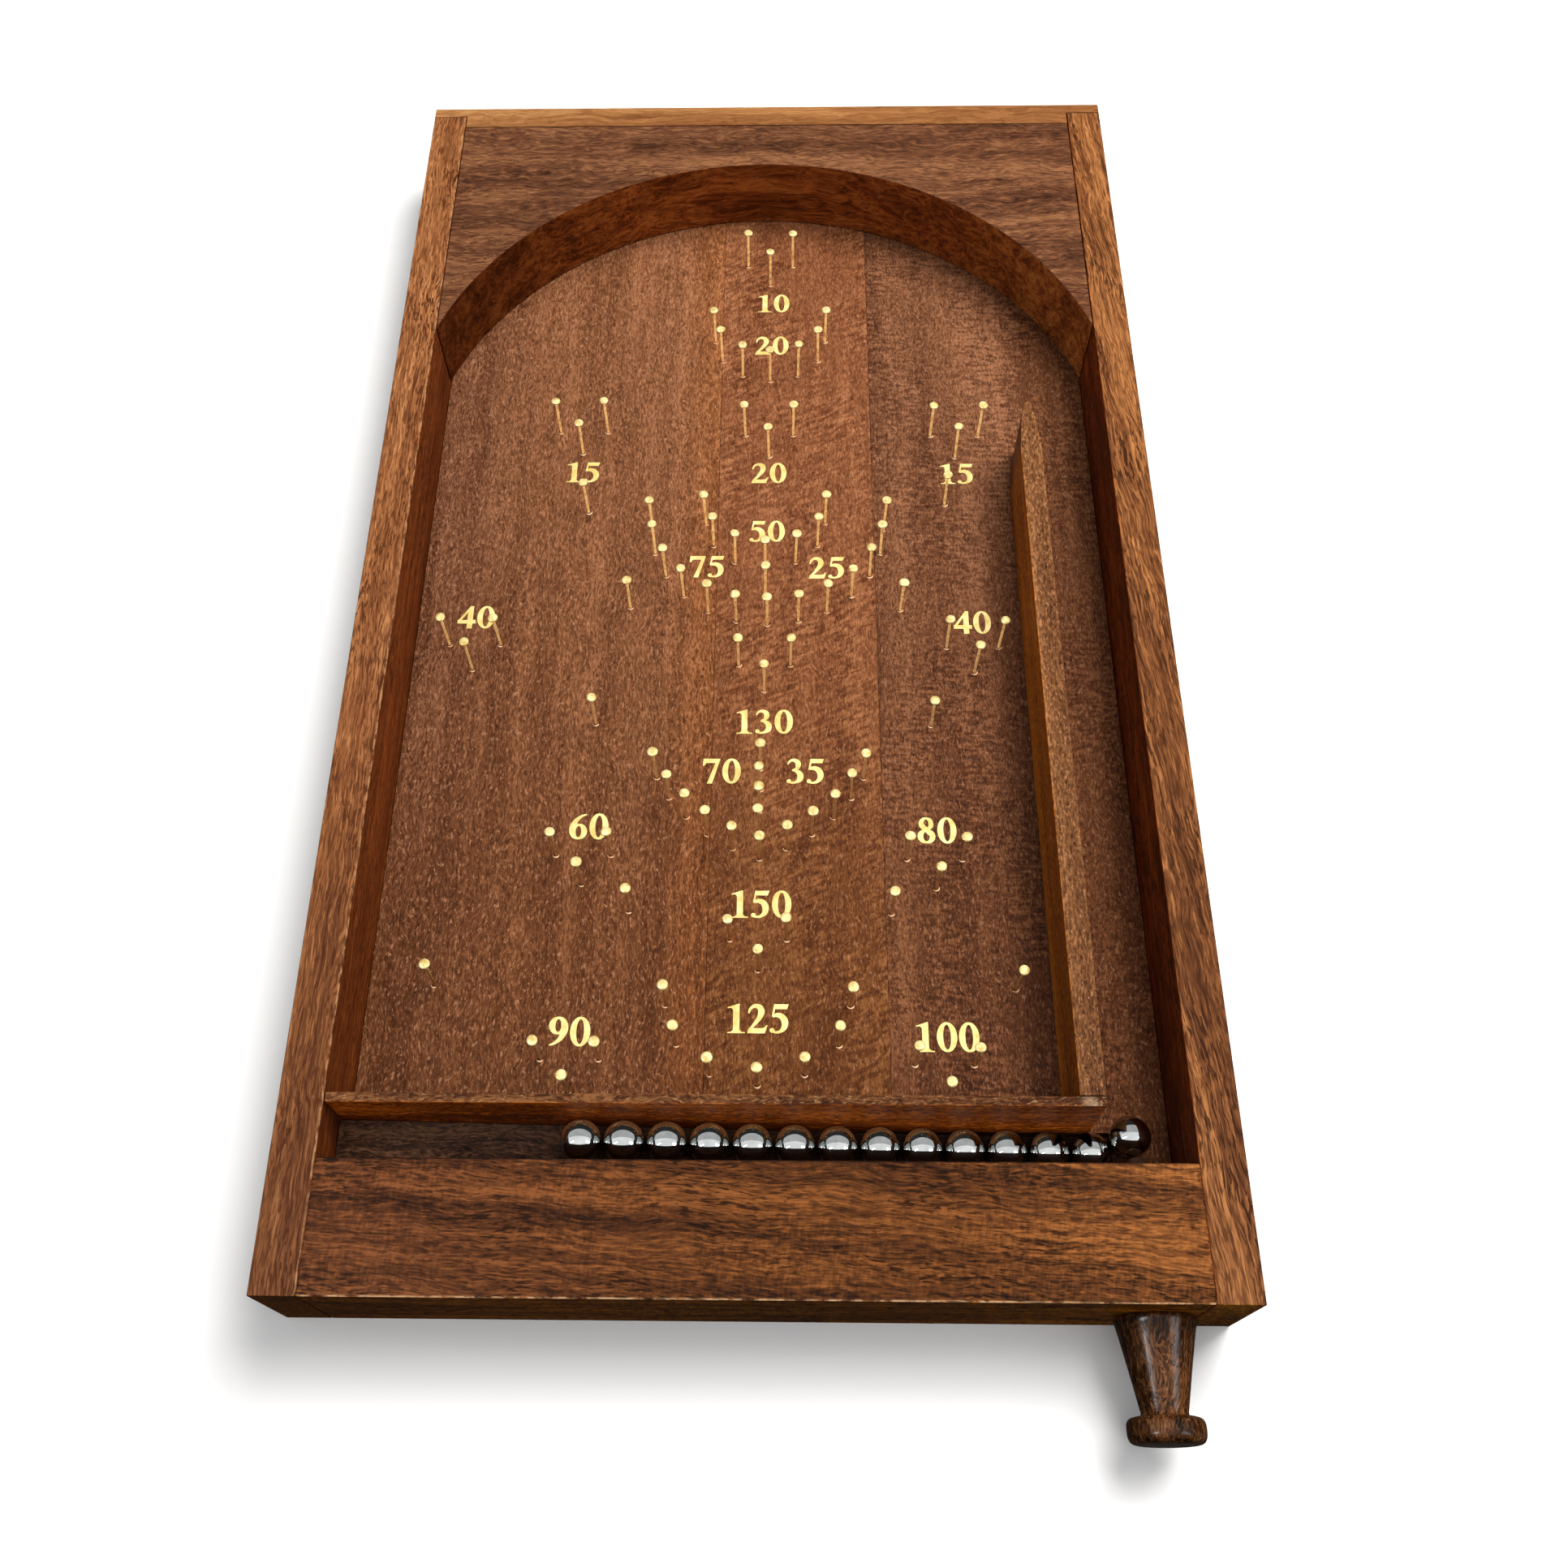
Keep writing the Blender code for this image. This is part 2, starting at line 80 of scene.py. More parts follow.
def srgb(r, g, b, gain=1.0):
    """Linear colour of an sRGB triple given in bytes."""
    out = []
    for value in (r, g, b):
        c = value / 255
        c = c / 12.92 if c <= 0.04045 else ((c + 0.055) / 1.055) ** 2.4
        out.append(min(1.0, c * gain))
    return (*out, 1.0)


class Shader:
    """A Principled material and short ways to add nodes to it."""

    def __init__(self, name):
        self.material = bpy.data.materials.new(name)
        self.material.use_nodes = True
        self.tree = self.material.node_tree
        self.bsdf = self.tree.nodes["Principled BSDF"]

    def link(self, source, target):
        self.tree.links.new(source, target)

    def put(self, socket, value):
        if isinstance(value, bpy.types.NodeSocket):
            self.link(value, socket)
        else:
            socket.default_value = value

    def node(self, kind, **settings):
        made = self.tree.nodes.new(kind)
        for key, value in settings.items():
            setattr(made, key, value)
        return made

    def coords(self):
        """Object coordinates in millimetres."""
        tex = self.node("ShaderNodeTexCoord")
        scale = self.node("ShaderNodeVectorMath", operation="SCALE")
        self.link(tex.outputs["Object"], scale.inputs[0])
        scale.inputs["Scale"].default_value = 1000.0
        return scale.outputs[0]

    def mapped(self, vector, scale=(1, 1, 1), turn=(0, 0, 0), move=(0, 0, 0)):
        made = self.node("ShaderNodeMapping")
        self.link(vector, made.inputs["Vector"])
        made.inputs["Scale"].default_value = scale
        made.inputs["Rotation"].default_value = [math.radians(a) for a in turn]
        made.inputs["Location"].default_value = move
        return made.outputs[0]

    def noise(self, vector, scale=1.0, detail=2.0, rough=0.5, distortion=0.0):
        made = self.node("ShaderNodeTexNoise")
        self.link(vector, made.inputs["Vector"])
        made.inputs["Scale"].default_value = scale
        made.inputs["Detail"].default_value = detail
        made.inputs["Roughness"].default_value = rough
        made.inputs["Distortion"].default_value = distortion
        return made.outputs["Fac"]

    def math(self, operation, a, b=None, clamp=False):
        made = self.node("ShaderNodeMath", operation=operation)
        made.use_clamp = clamp
        self.put(made.inputs[0], a)
        if b is not None:
            self.put(made.inputs[1], b)
        return made.outputs[0]

    def span(self, value, low, high, to_low=0.0, to_high=1.0):
        """Smooth ramp of value from low..high to to_low..to_high."""
        made = self.node("ShaderNodeMapRange", interpolation_type="SMOOTHSTEP")
        self.put(made.inputs["Value"], value)
        made.inputs["From Min"].default_value = low
        made.inputs["From Max"].default_value = high
        made.inputs["To Min"].default_value = to_low
        made.inputs["To Max"].default_value = to_high
        return made.outputs["Result"]

    def ramp(self, value, stops):
        made = self.node("ShaderNodeValToRGB")
        self.put(made.inputs["Fac"], value)
        elements = made.color_ramp.elements
        while len(elements) < len(stops):
            elements.new(0.5)
        for element, (place, colour) in zip(elements, stops):
            element.position = place
            element.color = colour
        return made.outputs["Color"]

    def mix(self, amount, a, b, blend="MIX"):
        made = self.node("ShaderNodeMix", data_type="RGBA", blend_type=blend)
        self.put(made.inputs["Factor"], amount)
        self.put(made.inputs["A"], a)
        self.put(made.inputs["B"], b)
        return made.outputs["Result"]

    def axis(self, vector, index):
        made = self.node("ShaderNodeSeparateXYZ")
        self.link(vector, made.inputs[0])
        return made.outputs[index]

    def bump(self, height, distance, strength):
        made = self.node("ShaderNodeBump")
        self.link(height, made.inputs["Height"])
        made.inputs["Distance"].default_value = distance
        made.inputs["Strength"].default_value = strength
        return made.outputs["Normal"]


def wood(name, dark, mid, light, grain="Y", slant=0.0, seed=0.0, wander=9.0, curl=0.5, contrast=1.0,
         band=(0.05, 0.6), streak=0.5, fine=0.35, fine_size=(2.1, 0.09), lines=0.0,
         pore=0.5, pore_size=(1.6, 0.22), pore_edge=(0.58, 0.68), pore_colour=None,
         ripple=0.0, ripple_turn=0.0, ripple_size=(0.75, 0.2), speck=0.0, speck_colour=None,
         gloss=0.5, spec=0.08, coat=0.0, tones=(), edges=(), gain=0.68):
    """Oiled hardwood: long bands and streaks, dark pores along the grain, ripples and specks.

    Sizes are how often a pattern repeats per millimetre, across and along the grain.
    tones holds (axis, from mm, to mm, colour, amount): a change of colour along one axis; the calls use it
    mostly to paint light and shade, such as darkening towards the near end and shaded or lit faces.
    edges holds two such ranges, a colour and an amount: a lighter colour where both hold, broken up in
    patches; on the left rail and the front rail this is a painted edge highlight.
    """
    s = Shader(name)
    place = s.coords()
    turn = {"Y": 0.0, "X": 90.0}.get(grain, 0.0)
    along = s.mapped(place, turn=(0, 0, turn + slant), move=(seed, seed * 1.7, seed * 0.6))
    # a slow sideways drift makes the grain wander
    drift = s.node("ShaderNodeTexNoise")
    s.link(s.mapped(along, (0.018, 0.009, 0.018)), drift.inputs["Vector"])
    drift.inputs["Detail"].default_value = 2.0
    centred = s.node("ShaderNodeVectorMath", operation="SUBTRACT")
    s.link(drift.outputs["Color"], centred.inputs[0])
    centred.inputs[1].default_value = (0.5, 0.5, 0.5)
    wide = s.node("ShaderNodeVectorMath", operation="MULTIPLY")
    s.link(centred.outputs[0], wide.inputs[0])
    wide.inputs[1].default_value = (wander, 0.0, wander)
    moved = s.node("ShaderNodeVectorMath", operation="ADD")
    s.link(along, moved.inputs[0])
    s.link(wide.outputs[0], moved.inputs[1])
    flow = moved.outputs[0]

    bands = s.noise(s.mapped(flow, (band[0], 0.004, band[0])), 1.0, 2.0)
    streaks = s.noise(s.mapped(flow, (0.55, 0.011, 0.55)), 1.0, 3.0, 0.6)
    fines = s.noise(s.mapped(flow, (fine_size[0], fine_size[1], fine_size[0])), 1.0, 3.0, 0.6, curl)
    tone = s.math("MULTIPLY", s.math("SUBTRACT", bands, 0.5), band[1] * 2.2)
    tone = s.math("ADD", tone, s.math("MULTIPLY", s.math("SUBTRACT", streaks, 0.5), streak * 2.0))
    tone = s.math("ADD", tone, s.math("MULTIPLY", s.math("SUBTRACT", fines, 0.5), fine * 2.0))
    if ripple:
        ruffled = s.mapped(flow, turn=(0, 0, 90 + ripple_turn))
        waves = s.span(s.noise(s.mapped(ruffled, (*ripple_size, 0.2)), 1.0, 1.5, 0.5, 0.4), 0.36, 0.64)
        patch = s.span(s.noise(s.mapped(flow, (0.05, 0.025, 0.05)), 1.0, 2.0), 0.36, 0.6, 0.15, 1.0)
        swell = s.math("MULTIPLY", s.math("SUBTRACT", waves, 0.5), patch)
        tone = s.math("ADD", tone, s.math("MULTIPLY", swell, ripple))
    tone = s.math("ADD", s.math("MULTIPLY", tone, contrast), 0.5, clamp=True)
    colour = s.ramp(tone, [(0.08, srgb(*dark, gain)), (0.5, srgb(*mid, gain)),
                           (0.92, srgb(*light, gain))])
    # tones multiply the colour along one axis: mostly painted light and shade
    for axis, start, end, shade, amount in tones:
        ratio = tuple(a / b for a, b in zip(srgb(*shade), srgb(*mid)))
        colour = s.mix(s.span(s.axis(place, axis), start, end, 0.0, amount), colour, ratio, "MULTIPLY")
    # edges: a pale band along an edge, patchy like wear; on the rails a painted highlight
    for first, second, shade, amount in edges:
        held = [s.span(s.axis(place, axis), start, end) for axis, start, end in (first, second)]
        both = s.math("MULTIPLY", *held)
        rub_and_sheen = s.span(s.noise(s.mapped(place, (0.35, 0.35, 0.35)), 1.0, 3.0), 0.35, 0.6, 0.0, amount)
        colour = s.mix(s.math("MULTIPLY", both, rub_and_sheen), colour, srgb(*shade, gain))

    if lines:
        veins = s.noise(s.mapped(flow, (0.7, 0.008, 0.7), move=(11, 3, 7)), 1.0, 2.5, 0.55)
        colour = s.mix(s.span(veins, 0.6, 0.7, 0.0, lines), colour, srgb(*dark, gain))
    pores = s.noise(s.mapped(flow, (pore_size[0], pore_size[1], pore_size[0])), 1.0, 1.5, 0.5, curl)
    thick = s.span(s.noise(s.mapped(flow, (0.09, 0.03, 0.09)), 1.0, 1.0), 0.3, 0.7, 0.45, 1.0)
    pits = s.math("MULTIPLY", s.span(pores, *pore_edge), thick)
    pit = pore_colour or tuple(c * 0.5 for c in dark)
    colour = s.mix(s.math("MULTIPLY", pits, pore), colour, srgb(*pit, gain))
    if speck:
        specks = s.noise(s.mapped(flow, (1.5, 0.55, 1.5), move=(31, 17, 5)), 1.0, 2.0, 0.6)
        shine = s.span(specks, 0.56, 0.72, 0.0, speck)
        colour = s.mix(shine, colour, srgb(*(speck_colour or light), gain))
    s.link(colour, s.bsdf.inputs["Base Color"])
    rough = s.math("ADD", s.math("MULTIPLY", fines, 0.16), gloss - 0.08)
    rough = s.math("ADD", rough, s.math("MULTIPLY", pits, 0.2), clamp=True)
    s.link(rough, s.bsdf.inputs["Roughness"])
    height = s.math("SUBTRACT", s.math("MULTIPLY", fines, 0.35), pits)
    s.link(s.bump(height, 0.00006, 0.6), s.bsdf.inputs["Normal"])
    s.bsdf.inputs["Specular IOR Level"].default_value = spec
    s.bsdf.inputs["Coat Weight"].default_value = coat
    s.bsdf.inputs["Coat Roughness"].default_value = 0.12
    return s.material


def steel_material(name, dark, bright, rough):
    """Polished steel with faint rubbed patches."""
    s = Shader(name)
    place = s.coords()
    patch = s.noise(place, 0.35, 4.0, 0.6)
    lines = s.noise(s.mapped(place, (0.5, 6.0, 1.2), (20, 35, 50)), 1.0, 2.0, 0.6)
    s.link(s.ramp(patch, [(0.3, srgb(*dark)), (0.7, srgb(*bright))]), s.bsdf.inputs["Base Color"])
    s.bsdf.inputs["Metallic"].default_value = 1.0
    blur = s.math("ADD", s.math("MULTIPLY", s.span(patch, 0.45, 0.75), 0.05),
                  s.math("MULTIPLY", s.span(lines, 0.6, 0.8), 0.05))
    s.link(s.math("ADD", blur, rough), s.bsdf.inputs["Roughness"])
    return s.material


def brass_material(name, dark, bright, rough, metallic=1.0):
    """Brass, duller and browner in patches."""
    s = Shader(name)
    place = s.coords()
    stain = s.noise(place, 0.55, 4.0, 0.65)
    grit = s.noise(place, 3.0, 3.0, 0.7)
    base = s.ramp(stain, [(0.34, srgb(*dark)), (0.6, srgb(*bright))])
    s.link(base, s.bsdf.inputs["Base Color"])
    s.bsdf.inputs["Metallic"].default_value = metallic
    s.link(s.math("ADD", s.math("MULTIPLY", stain, 0.22), rough), s.bsdf.inputs["Roughness"])
    s.link(s.bump(grit, 0.00005, 0.5), s.bsdf.inputs["Normal"])
    return s.material


def shaft_material(name):
    """Bright drawn wire, with emission as painted light that grows towards the far pins."""
    s = Shader(name)
    place = s.coords()
    stain = s.noise(place, 0.8, 3.0, 0.6)
    base = s.ramp(stain, [(0.34, srgb(222, 164, 92)), (0.62, srgb(255, 212, 136))])
    s.link(base, s.bsdf.inputs["Base Color"])
    s.link(base, s.bsdf.inputs["Emission Color"])
    # painted light: the shafts glow in their own colour, none at the near end and most at the far end, in
    # patches
    far = s.span(s.axis(place, 1), -100.0, 40.0, 0.0, 0.6)
    s.link(s.math("MULTIPLY", far, s.span(stain, 0.3, 0.5, 0.5, 1.0)), s.bsdf.inputs["Emission Strength"])
    s.bsdf.inputs["Roughness"].default_value = 0.4
    return s.material


def foil_material(name):
    """Gold transfer foil, slightly mottled."""
    s = Shader(name)
    place = s.coords()
    patch = s.noise(place, 0.3, 4.0, 0.6)
    grit = s.noise(place, 1.6, 3.0, 0.7)
    base = s.ramp(patch, [(0.35, srgb(218, 190, 104)), (0.65, srgb(248, 230, 158))])
    s.link(s.mix(s.span(grit, 0.6, 0.75, 0.0, 0.35), base, srgb(190, 156, 88)), s.bsdf.inputs["Base Color"])
    s.bsdf.inputs["Metallic"].default_value = 0.25
    s.link(s.math("ADD", s.math("MULTIPLY", grit, 0.2), 0.3), s.bsdf.inputs["Roughness"])
    s.link(s.bump(grit, 0.00002, 0.4), s.bsdf.inputs["Normal"])
    return s.material


def floor_material():
    s = Shader("studio_floor")
    place = s.coords()
    cloud = s.noise(place, 0.004, 2.0)
    s.link(s.ramp(cloud, [(0.3, (0.90, 0.90, 0.90, 1)), (0.7, (0.93, 0.93, 0.93, 1))]),
           s.bsdf.inputs["Base Color"])
    s.bsdf.inputs["Roughness"].default_value = 0.9
    s.bsdf.inputs["Specular IOR Level"].default_value = 0.1
    return s.material


# painted light: the front faces turn away from the light, so a brighter colour is painted on them
FRONT_FACE_PAINTED_LIGHT = (1, -207.35, -207.48, (168, 96, 14), 1.0)


def case_woods():
    """Rails, arch, divider, strip, trough floor and bottom panel."""
    made = {}
    # left rail: painted shade darkens it towards the near end and colours its inner wall darker and redder;
    # the front face gets painted light, and a painted highlight runs along the inner top edge
    made["rail_left"] = wood(
        "rail_wood_left", (84, 44, 24), (152, 93, 53), (214, 146, 92), seed=3.0, streak=0.35, fine=0.6,
        band=(0.06, 0.3), pore=0.95, pore_size=(2.1, 0.26), pore_edge=(0.5, 0.58), wander=3.0,
        pore_colour=(80, 40, 18), contrast=1.3,
        tones=[(1, -40, -200, (112, 68, 38), 0.5), (0, -108.8, -108.6, (122, 50, 7), 0.8), FRONT_FACE_PAINTED_LIGHT],
        edges=[((0, -109.2, -108.8), (2, 32.9, 33.4), (214, 160, 112), 0.6)])
    # right rail: painted shade colours its inner wall darker and redder and darkens it towards the near end;
    # the front face gets a brighter colour as painted light
    made["rail_right"] = wood(
        "rail_wood_right", (68, 35, 16), (131, 79, 43), (200, 132, 76), slant=-6.0, seed=41.0, streak=0.45,
        fine=0.6, band=(0.05, 0.4), pore=0.9, pore_size=(1.9, 0.2), pore_edge=(0.5, 0.6), wander=4.0,
        pore_colour=(56, 29, 15), contrast=1.35,
        tones=[(0, 108.8, 108.6, (132, 56, 12), 0.9), (1, -60, -180, (114, 68, 38), 0.35),
               (1, -207.35, -207.48, (204, 124, 26), 1.0)])
    # front rail: darker to the left and lighter to the right, where the lighter right end is a painted sheen;
    # the front face gets painted light, the inner face by the balls painted shade, and a painted highlight
    # runs along the top front edge
    made["front"] = wood(
        "front_wood", (46, 22, 8), (102, 57, 24), (156, 93, 44), grain="X", slant=4.0, seed=12.0,
        band=(0.1, 0.42), streak=0.5, fine=0.6, fine_size=(1.9, 0.25), pore=0.8, pore_size=(1.8, 0.26),
        pore_edge=(0.52, 0.62), ripple=0.16, ripple_turn=4.0, ripple_size=(1.1, 0.4), contrast=1.15,
        wander=4.0, lines=0.5, curl=0.3,
        tones=[(0, 20, -108, (92, 50, 25), 0.9), (0, 40, 108, (130, 76, 35), 0.8), FRONT_FACE_PAINTED_LIGHT,
               (1, -175.0, -174.6, (36, 16, 6), 0.9)],
        edges=[((1, -206.9, -207.3), (2, 32.9, 33.3), (222, 176, 130), 0.8)])
    made["back"] = wood(
        "back_wood", (126, 76, 40), (168, 112, 65), (208, 151, 96), grain="X", seed=5.0, streak=0.6,
        fine=0.4, pore=0.35)
    made["arch"] = wood(
        "arch_wood", (58, 32, 20), (107, 66, 43), (158, 106, 70), grain="X", seed=23.0, band=(0.08, 0.3),
        streak=0.45, fine=0.6, fine_size=(1.7, 0.2), pore=0.5, pore_size=(1.5, 0.3), contrast=1.35)
    # the arch's inner face gets a darker, redder copy of the arch wood as painted shade; it is also darker to
    # the left and lighter to the right
    made["arch_face"] = wood(
        "arch_face_shaded_wood", (96, 42, 12), (156, 78, 30), (204, 116, 52), grain="X", seed=25.0,
        band=(0.12, 0.4), streak=0.7, fine=0.6, pore=0.6, pore_size=(1.4, 0.12), contrast=1.4,
        tones=[(0, -40, -105, (88, 38, 10), 0.9), (0, 60, 105, (176, 100, 44), 0.8)])
    # divider: its left face gets painted light, a brighter and more orange colour than the top
    made["divider"] = wood(
        "divider_wood", (62, 34, 18), (126, 80, 46), (188, 130, 84), seed=61.0, streak=0.25, fine=0.7,
        fine_size=(1.7, 0.5), pore=0.7, pore_size=(1.6, 0.8), speck=0.6, speck_colour=(204, 144, 100),
        contrast=1.2, wander=3.0, tones=[(0, 81.25, 81.05, (172, 96, 20), 0.9)])
    # strip: the face towards the balls gets painted light, a much brighter and redder colour than the top;
    # the top edge is paler at its right end
    made["strip"] = wood(
        "strip_wood", (50, 25, 12), (83, 45, 22), (144, 94, 55), grain="X", seed=71.0, streak=0.4,
        fine=0.6, fine_size=(1.7, 0.4), pore=0.5, pore_size=(1.6, 0.8), speck=0.6,
        speck_colour=(196, 148, 100), contrast=1.5, tones=[(1, -160.4, -160.49, (196, 88, 12), 0.9)],
        edges=[((0, 80.0, 87.0), (2, 33.0, 33.4), (236, 200, 160), 0.8)])
    made["ramp"] = wood(
        "ramp_wood", (28, 16, 9), (70, 43, 27), (116, 79, 55), grain="X", seed=81.0, fine=0.7,
        fine_size=(1.8, 0.4), pore=0.7, pore_size=(1.4, 0.5), speck=0.3, speck_colour=(140, 100, 72),
        gloss=0.6, contrast=1.5)
    made["panel"] = wood(
        "panel_wood", (150, 112, 72), (190, 150, 102), (216, 182, 134), seed=91.0, pore=0.3,
        gloss=0.65)
    return made


def field_woods():
    """The three boards, each with its own colour and figure, and with painted shade that darkens them towards
    the near end.
    """
    made = {}
    # left board: painted shade darkens it towards the near end; it is also brighter and more orange by the
    # centre seam, and a little darker and greyer by the left wall
    made["field_left"] = wood(
        "field_wood_left", (84, 46, 26), (128, 80, 50), (180, 121, 84), seed=101.0, band=(0.09, 0.22),
        streak=0.22, fine=0.7, fine_size=(2.0, 0.45), pore=0.55, pore_size=(1.7, 0.45), speck=0.6,
        speck_colour=(206, 146, 108), gloss=0.45, contrast=1.5, wander=6.0, curl=0.7,
        tones=[(0, -32, -16, (150, 90, 48), 0.6), (0, -70, -105, (122, 78, 54), 0.6),
               (1, 60, -150, (102, 58, 29), 0.85)])
    # centre board: painted shade darkens it towards the near end
    made["field_centre"] = wood(
        "field_wood_centre", (90, 47, 26), (139, 84, 52), (194, 130, 88), seed=131.0, band=(0.07, 0.22),
        streak=0.18, fine=0.6, fine_size=(2.0, 0.5), pore=0.5, pore_size=(1.7, 0.6), ripple=0.26,
        ripple_turn=-28.0, speck=0.45, speck_colour=(206, 146, 104), gloss=0.45,
        contrast=1.35, wander=6.0, curl=0.7, tones=[(1, 60, -150, (102, 57, 23), 0.85)])
    # right board: painted shade darkens it towards the near end and over the launch lane's floor
    made["field_right"] = wood(
        "field_wood_right", (72, 39, 23), (116, 72, 46), (170, 115, 81), seed=151.0, band=(0.07, 0.25),
        streak=0.18, fine=0.7, fine_size=(2.0, 0.65), pore=0.6, pore_size=(1.7, 0.6), ripple=0.24,
        ripple_turn=3.0, ripple_size=(0.9, 0.25), speck=0.5, speck_colour=(188, 132, 100), gloss=0.45,
        contrast=1.45, wander=6.0, curl=0.8,
        tones=[(1, 90, -150, (92, 51, 25), 0.75), (0, 86, 90, (99, 58, 33), 0.85)])
    return made


def fitting_materials():
    """Plunger, pins, numbers, balls and spring."""
    made = {}
    made["knob"] = wood(
        "knob_wood", (22, 12, 5), (72, 42, 21), (132, 83, 46), seed=171.0, band=(0.3, 0.2), streak=0.4,
        fine=0.7, fine_size=(2.2, 0.3), pore=0.8, pore_size=(2.2, 0.4), speck=0.35,
        speck_colour=(188, 134, 90), gloss=0.19, spec=0.1, coat=0.03, contrast=1.6)
    made["rod"] = wood(
        "rod_wood", (34, 20, 12), (56, 35, 22), (84, 57, 38), seed=181.0, band=(0.3, 0.4), gloss=0.45)
    made["brass"] = brass_material("brass_pin", (204, 170, 92), (246, 230, 166), 0.28, 0.35)
    made["shaft"] = shaft_material("brass_shaft")
    made["collar"] = brass_material("collar_brass", (150, 108, 50), (214, 176, 98), 0.25)
    # pale crescents at the pin feet: painted glints
    made["chip"] = wood(
        "chipped_edge", (196, 140, 96), (248, 196, 148), (255, 226, 186), seed=7.0, pore=0.2, gloss=0.3,
        gain=0.85)
    made["foil"] = foil_material("gold_foil")
    made["ball"] = steel_material("ball_steel", (170, 173, 172), (196, 199, 197), 0.02)
    made["spring"] = steel_material("spring_steel", (120, 120, 122), (180, 180, 182), 0.2)
    return made


def make_materials():
    return {**case_woods(), **field_woods(), **fitting_materials()}


# ---------------------------------------------------------------- meshes

def add_piece(name, bm, materials, body, nodes=(), smooth=False):
    """A finished mesh from bm, in metres in the row frame, riding on a body."""
    bmesh.ops.recalc_face_normals(bm, faces=bm.faces)
    mesh = bpy.data.meshes.new(name)
    bm.to_mesh(mesh)
    bm.free()
    obj = bpy.data.objects.new(name, mesh)
    SCENE.collection.objects.link(obj)
    for material in materials:
        mesh.materials.append(material)
    if smooth:
        mesh.shade_smooth()
    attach(obj, body)
    if nodes:
        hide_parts(*nodes)
    return obj


def soften(obj, width, segments=3, angle=30):
    """Rounded edges; imported faces are first welded so that their edges meet."""
    weld = obj.modifiers.new("weld", "WELD")
    weld.merge_threshold = 0.00001
    bevel = obj.modifiers.new("soft_edges", "BEVEL")
    bevel.width = width * MM
    bevel.segments = segments
    bevel.limit_method = "ANGLE"
    bevel.angle_limit = math.radians(angle)
    bevel.harden_normals = True
    return obj


def dress(node, material, width):
    """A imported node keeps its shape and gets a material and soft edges."""
    obj = NODES[node]
    obj.data.materials.clear()
    obj.data.materials.append(material)
    return soften(obj, width)


def prism(outline, low, high):
    """Closed body from an outline in millimetres."""
    bm = bmesh.new()
    bottom = [bm.verts.new((x * MM, y * MM, low * MM)) for x, y in outline]
    top = [bm.verts.new((x * MM, y * MM, high * MM)) for x, y in outline]
    bm.faces.new(bottom)
    bm.faces.new(top)
    for i in range(len(outline)):
        j = (i + 1) % len(outline)
        bm.faces.new((bottom[i], bottom[j], top[j], top[i]))
    return bm


def ring(bm, centre, across, up, radius, sides):
    """Ring of vertices round centre, in the plane of across and up."""
    angles = [math.tau * i / sides for i in range(sides)]
    return [bm.verts.new(centre + across * (radius * math.cos(a)) + up * (radius * math.sin(a)))
            for a in angles]


def lathe(bm, origin, axis, profile, sides):
    """Turned body: profile holds (radius, distance along axis), closed at both ends."""
    axis = axis.normalized()
    across = axis.orthogonal().normalized()
    up = axis.cross(across)
    loops = []
    for radius, distance in profile:
        centre = origin + axis * distance
        if radius < 1e-9:
            loops.append([bm.verts.new(centre)])
        else:
            loops.append(ring(bm, centre, across, up, radius, sides))
    faces = []
    for lower, upper in zip(loops, loops[1:]):
        for i in range(sides):
            j = (i + 1) % sides
            a = [lower[0]] if len(lower) == 1 else [lower[i], lower[j]]
            b = [upper[0]] if len(upper) == 1 else [upper[j], upper[i]]
            if len(a) + len(b) > 2:
                faces.append(bm.faces.new(a + b))
    for loop in (loops[0], loops[-1]):
        if len(loop) > 1:
            faces.append(bm.faces.new(loop))
    return faces


def smooth_profile(points, steps=6):
    """Catmull-Rom curve through points."""
    out = []
    padded = [points[0]] + list(points) + [points[-1]]
    for i in range(1, len(padded) - 2):
        p0, p1, p2, p3 = (Vector(p) for p in padded[i - 1:i + 3])
        for k in range(steps):
            t = k / steps
            out.append(0.5 * ((2 * p1) + (p2 - p0) * t + (2 * p0 - 5 * p1 + 4 * p2 - p3) * t * t
                              + (3 * p1 - p0 - 3 * p2 + p3) * t ** 3))
    out.append(Vector(points[-1]))
    return out


# ---------------------------------------------------------------- the case

def build_case(mats):
    """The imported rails, divider, strip and floors, with soft edges and wood."""
    dress("side_rail_left", mats["rail_left"], 0.22)
    dress("side_rail_right", mats["rail_right"], 0.22)
    dress("front_rail", mats["front"], 0.22)
    dress("back_rail", mats["back"], 0.22)
    dress("bottom_panel", mats["panel"], 0.2)
    # glue lines close the two joints of the front rail
    near, far, under, top = -207.2, -174.7, 0.3, 33.2
    for side, low, high in (("left", -108.48, -108.22), ("right", 108.22, 108.48)):
        outline = [(low, near), (high, near), (high, far), (low, far)]
        add_piece(f"glue_line_{side}", prism(outline, under, top), [mats["front"]], "root")
    dress("lane_divider", mats["divider"], 0.3)
    # the steel balls mirror the softboxes past the thin strip
    dress("trough_strip", mats["strip"], 0.3).visible_glossy = False
    dress("trough_ramp", mats["ramp"], 0.2)


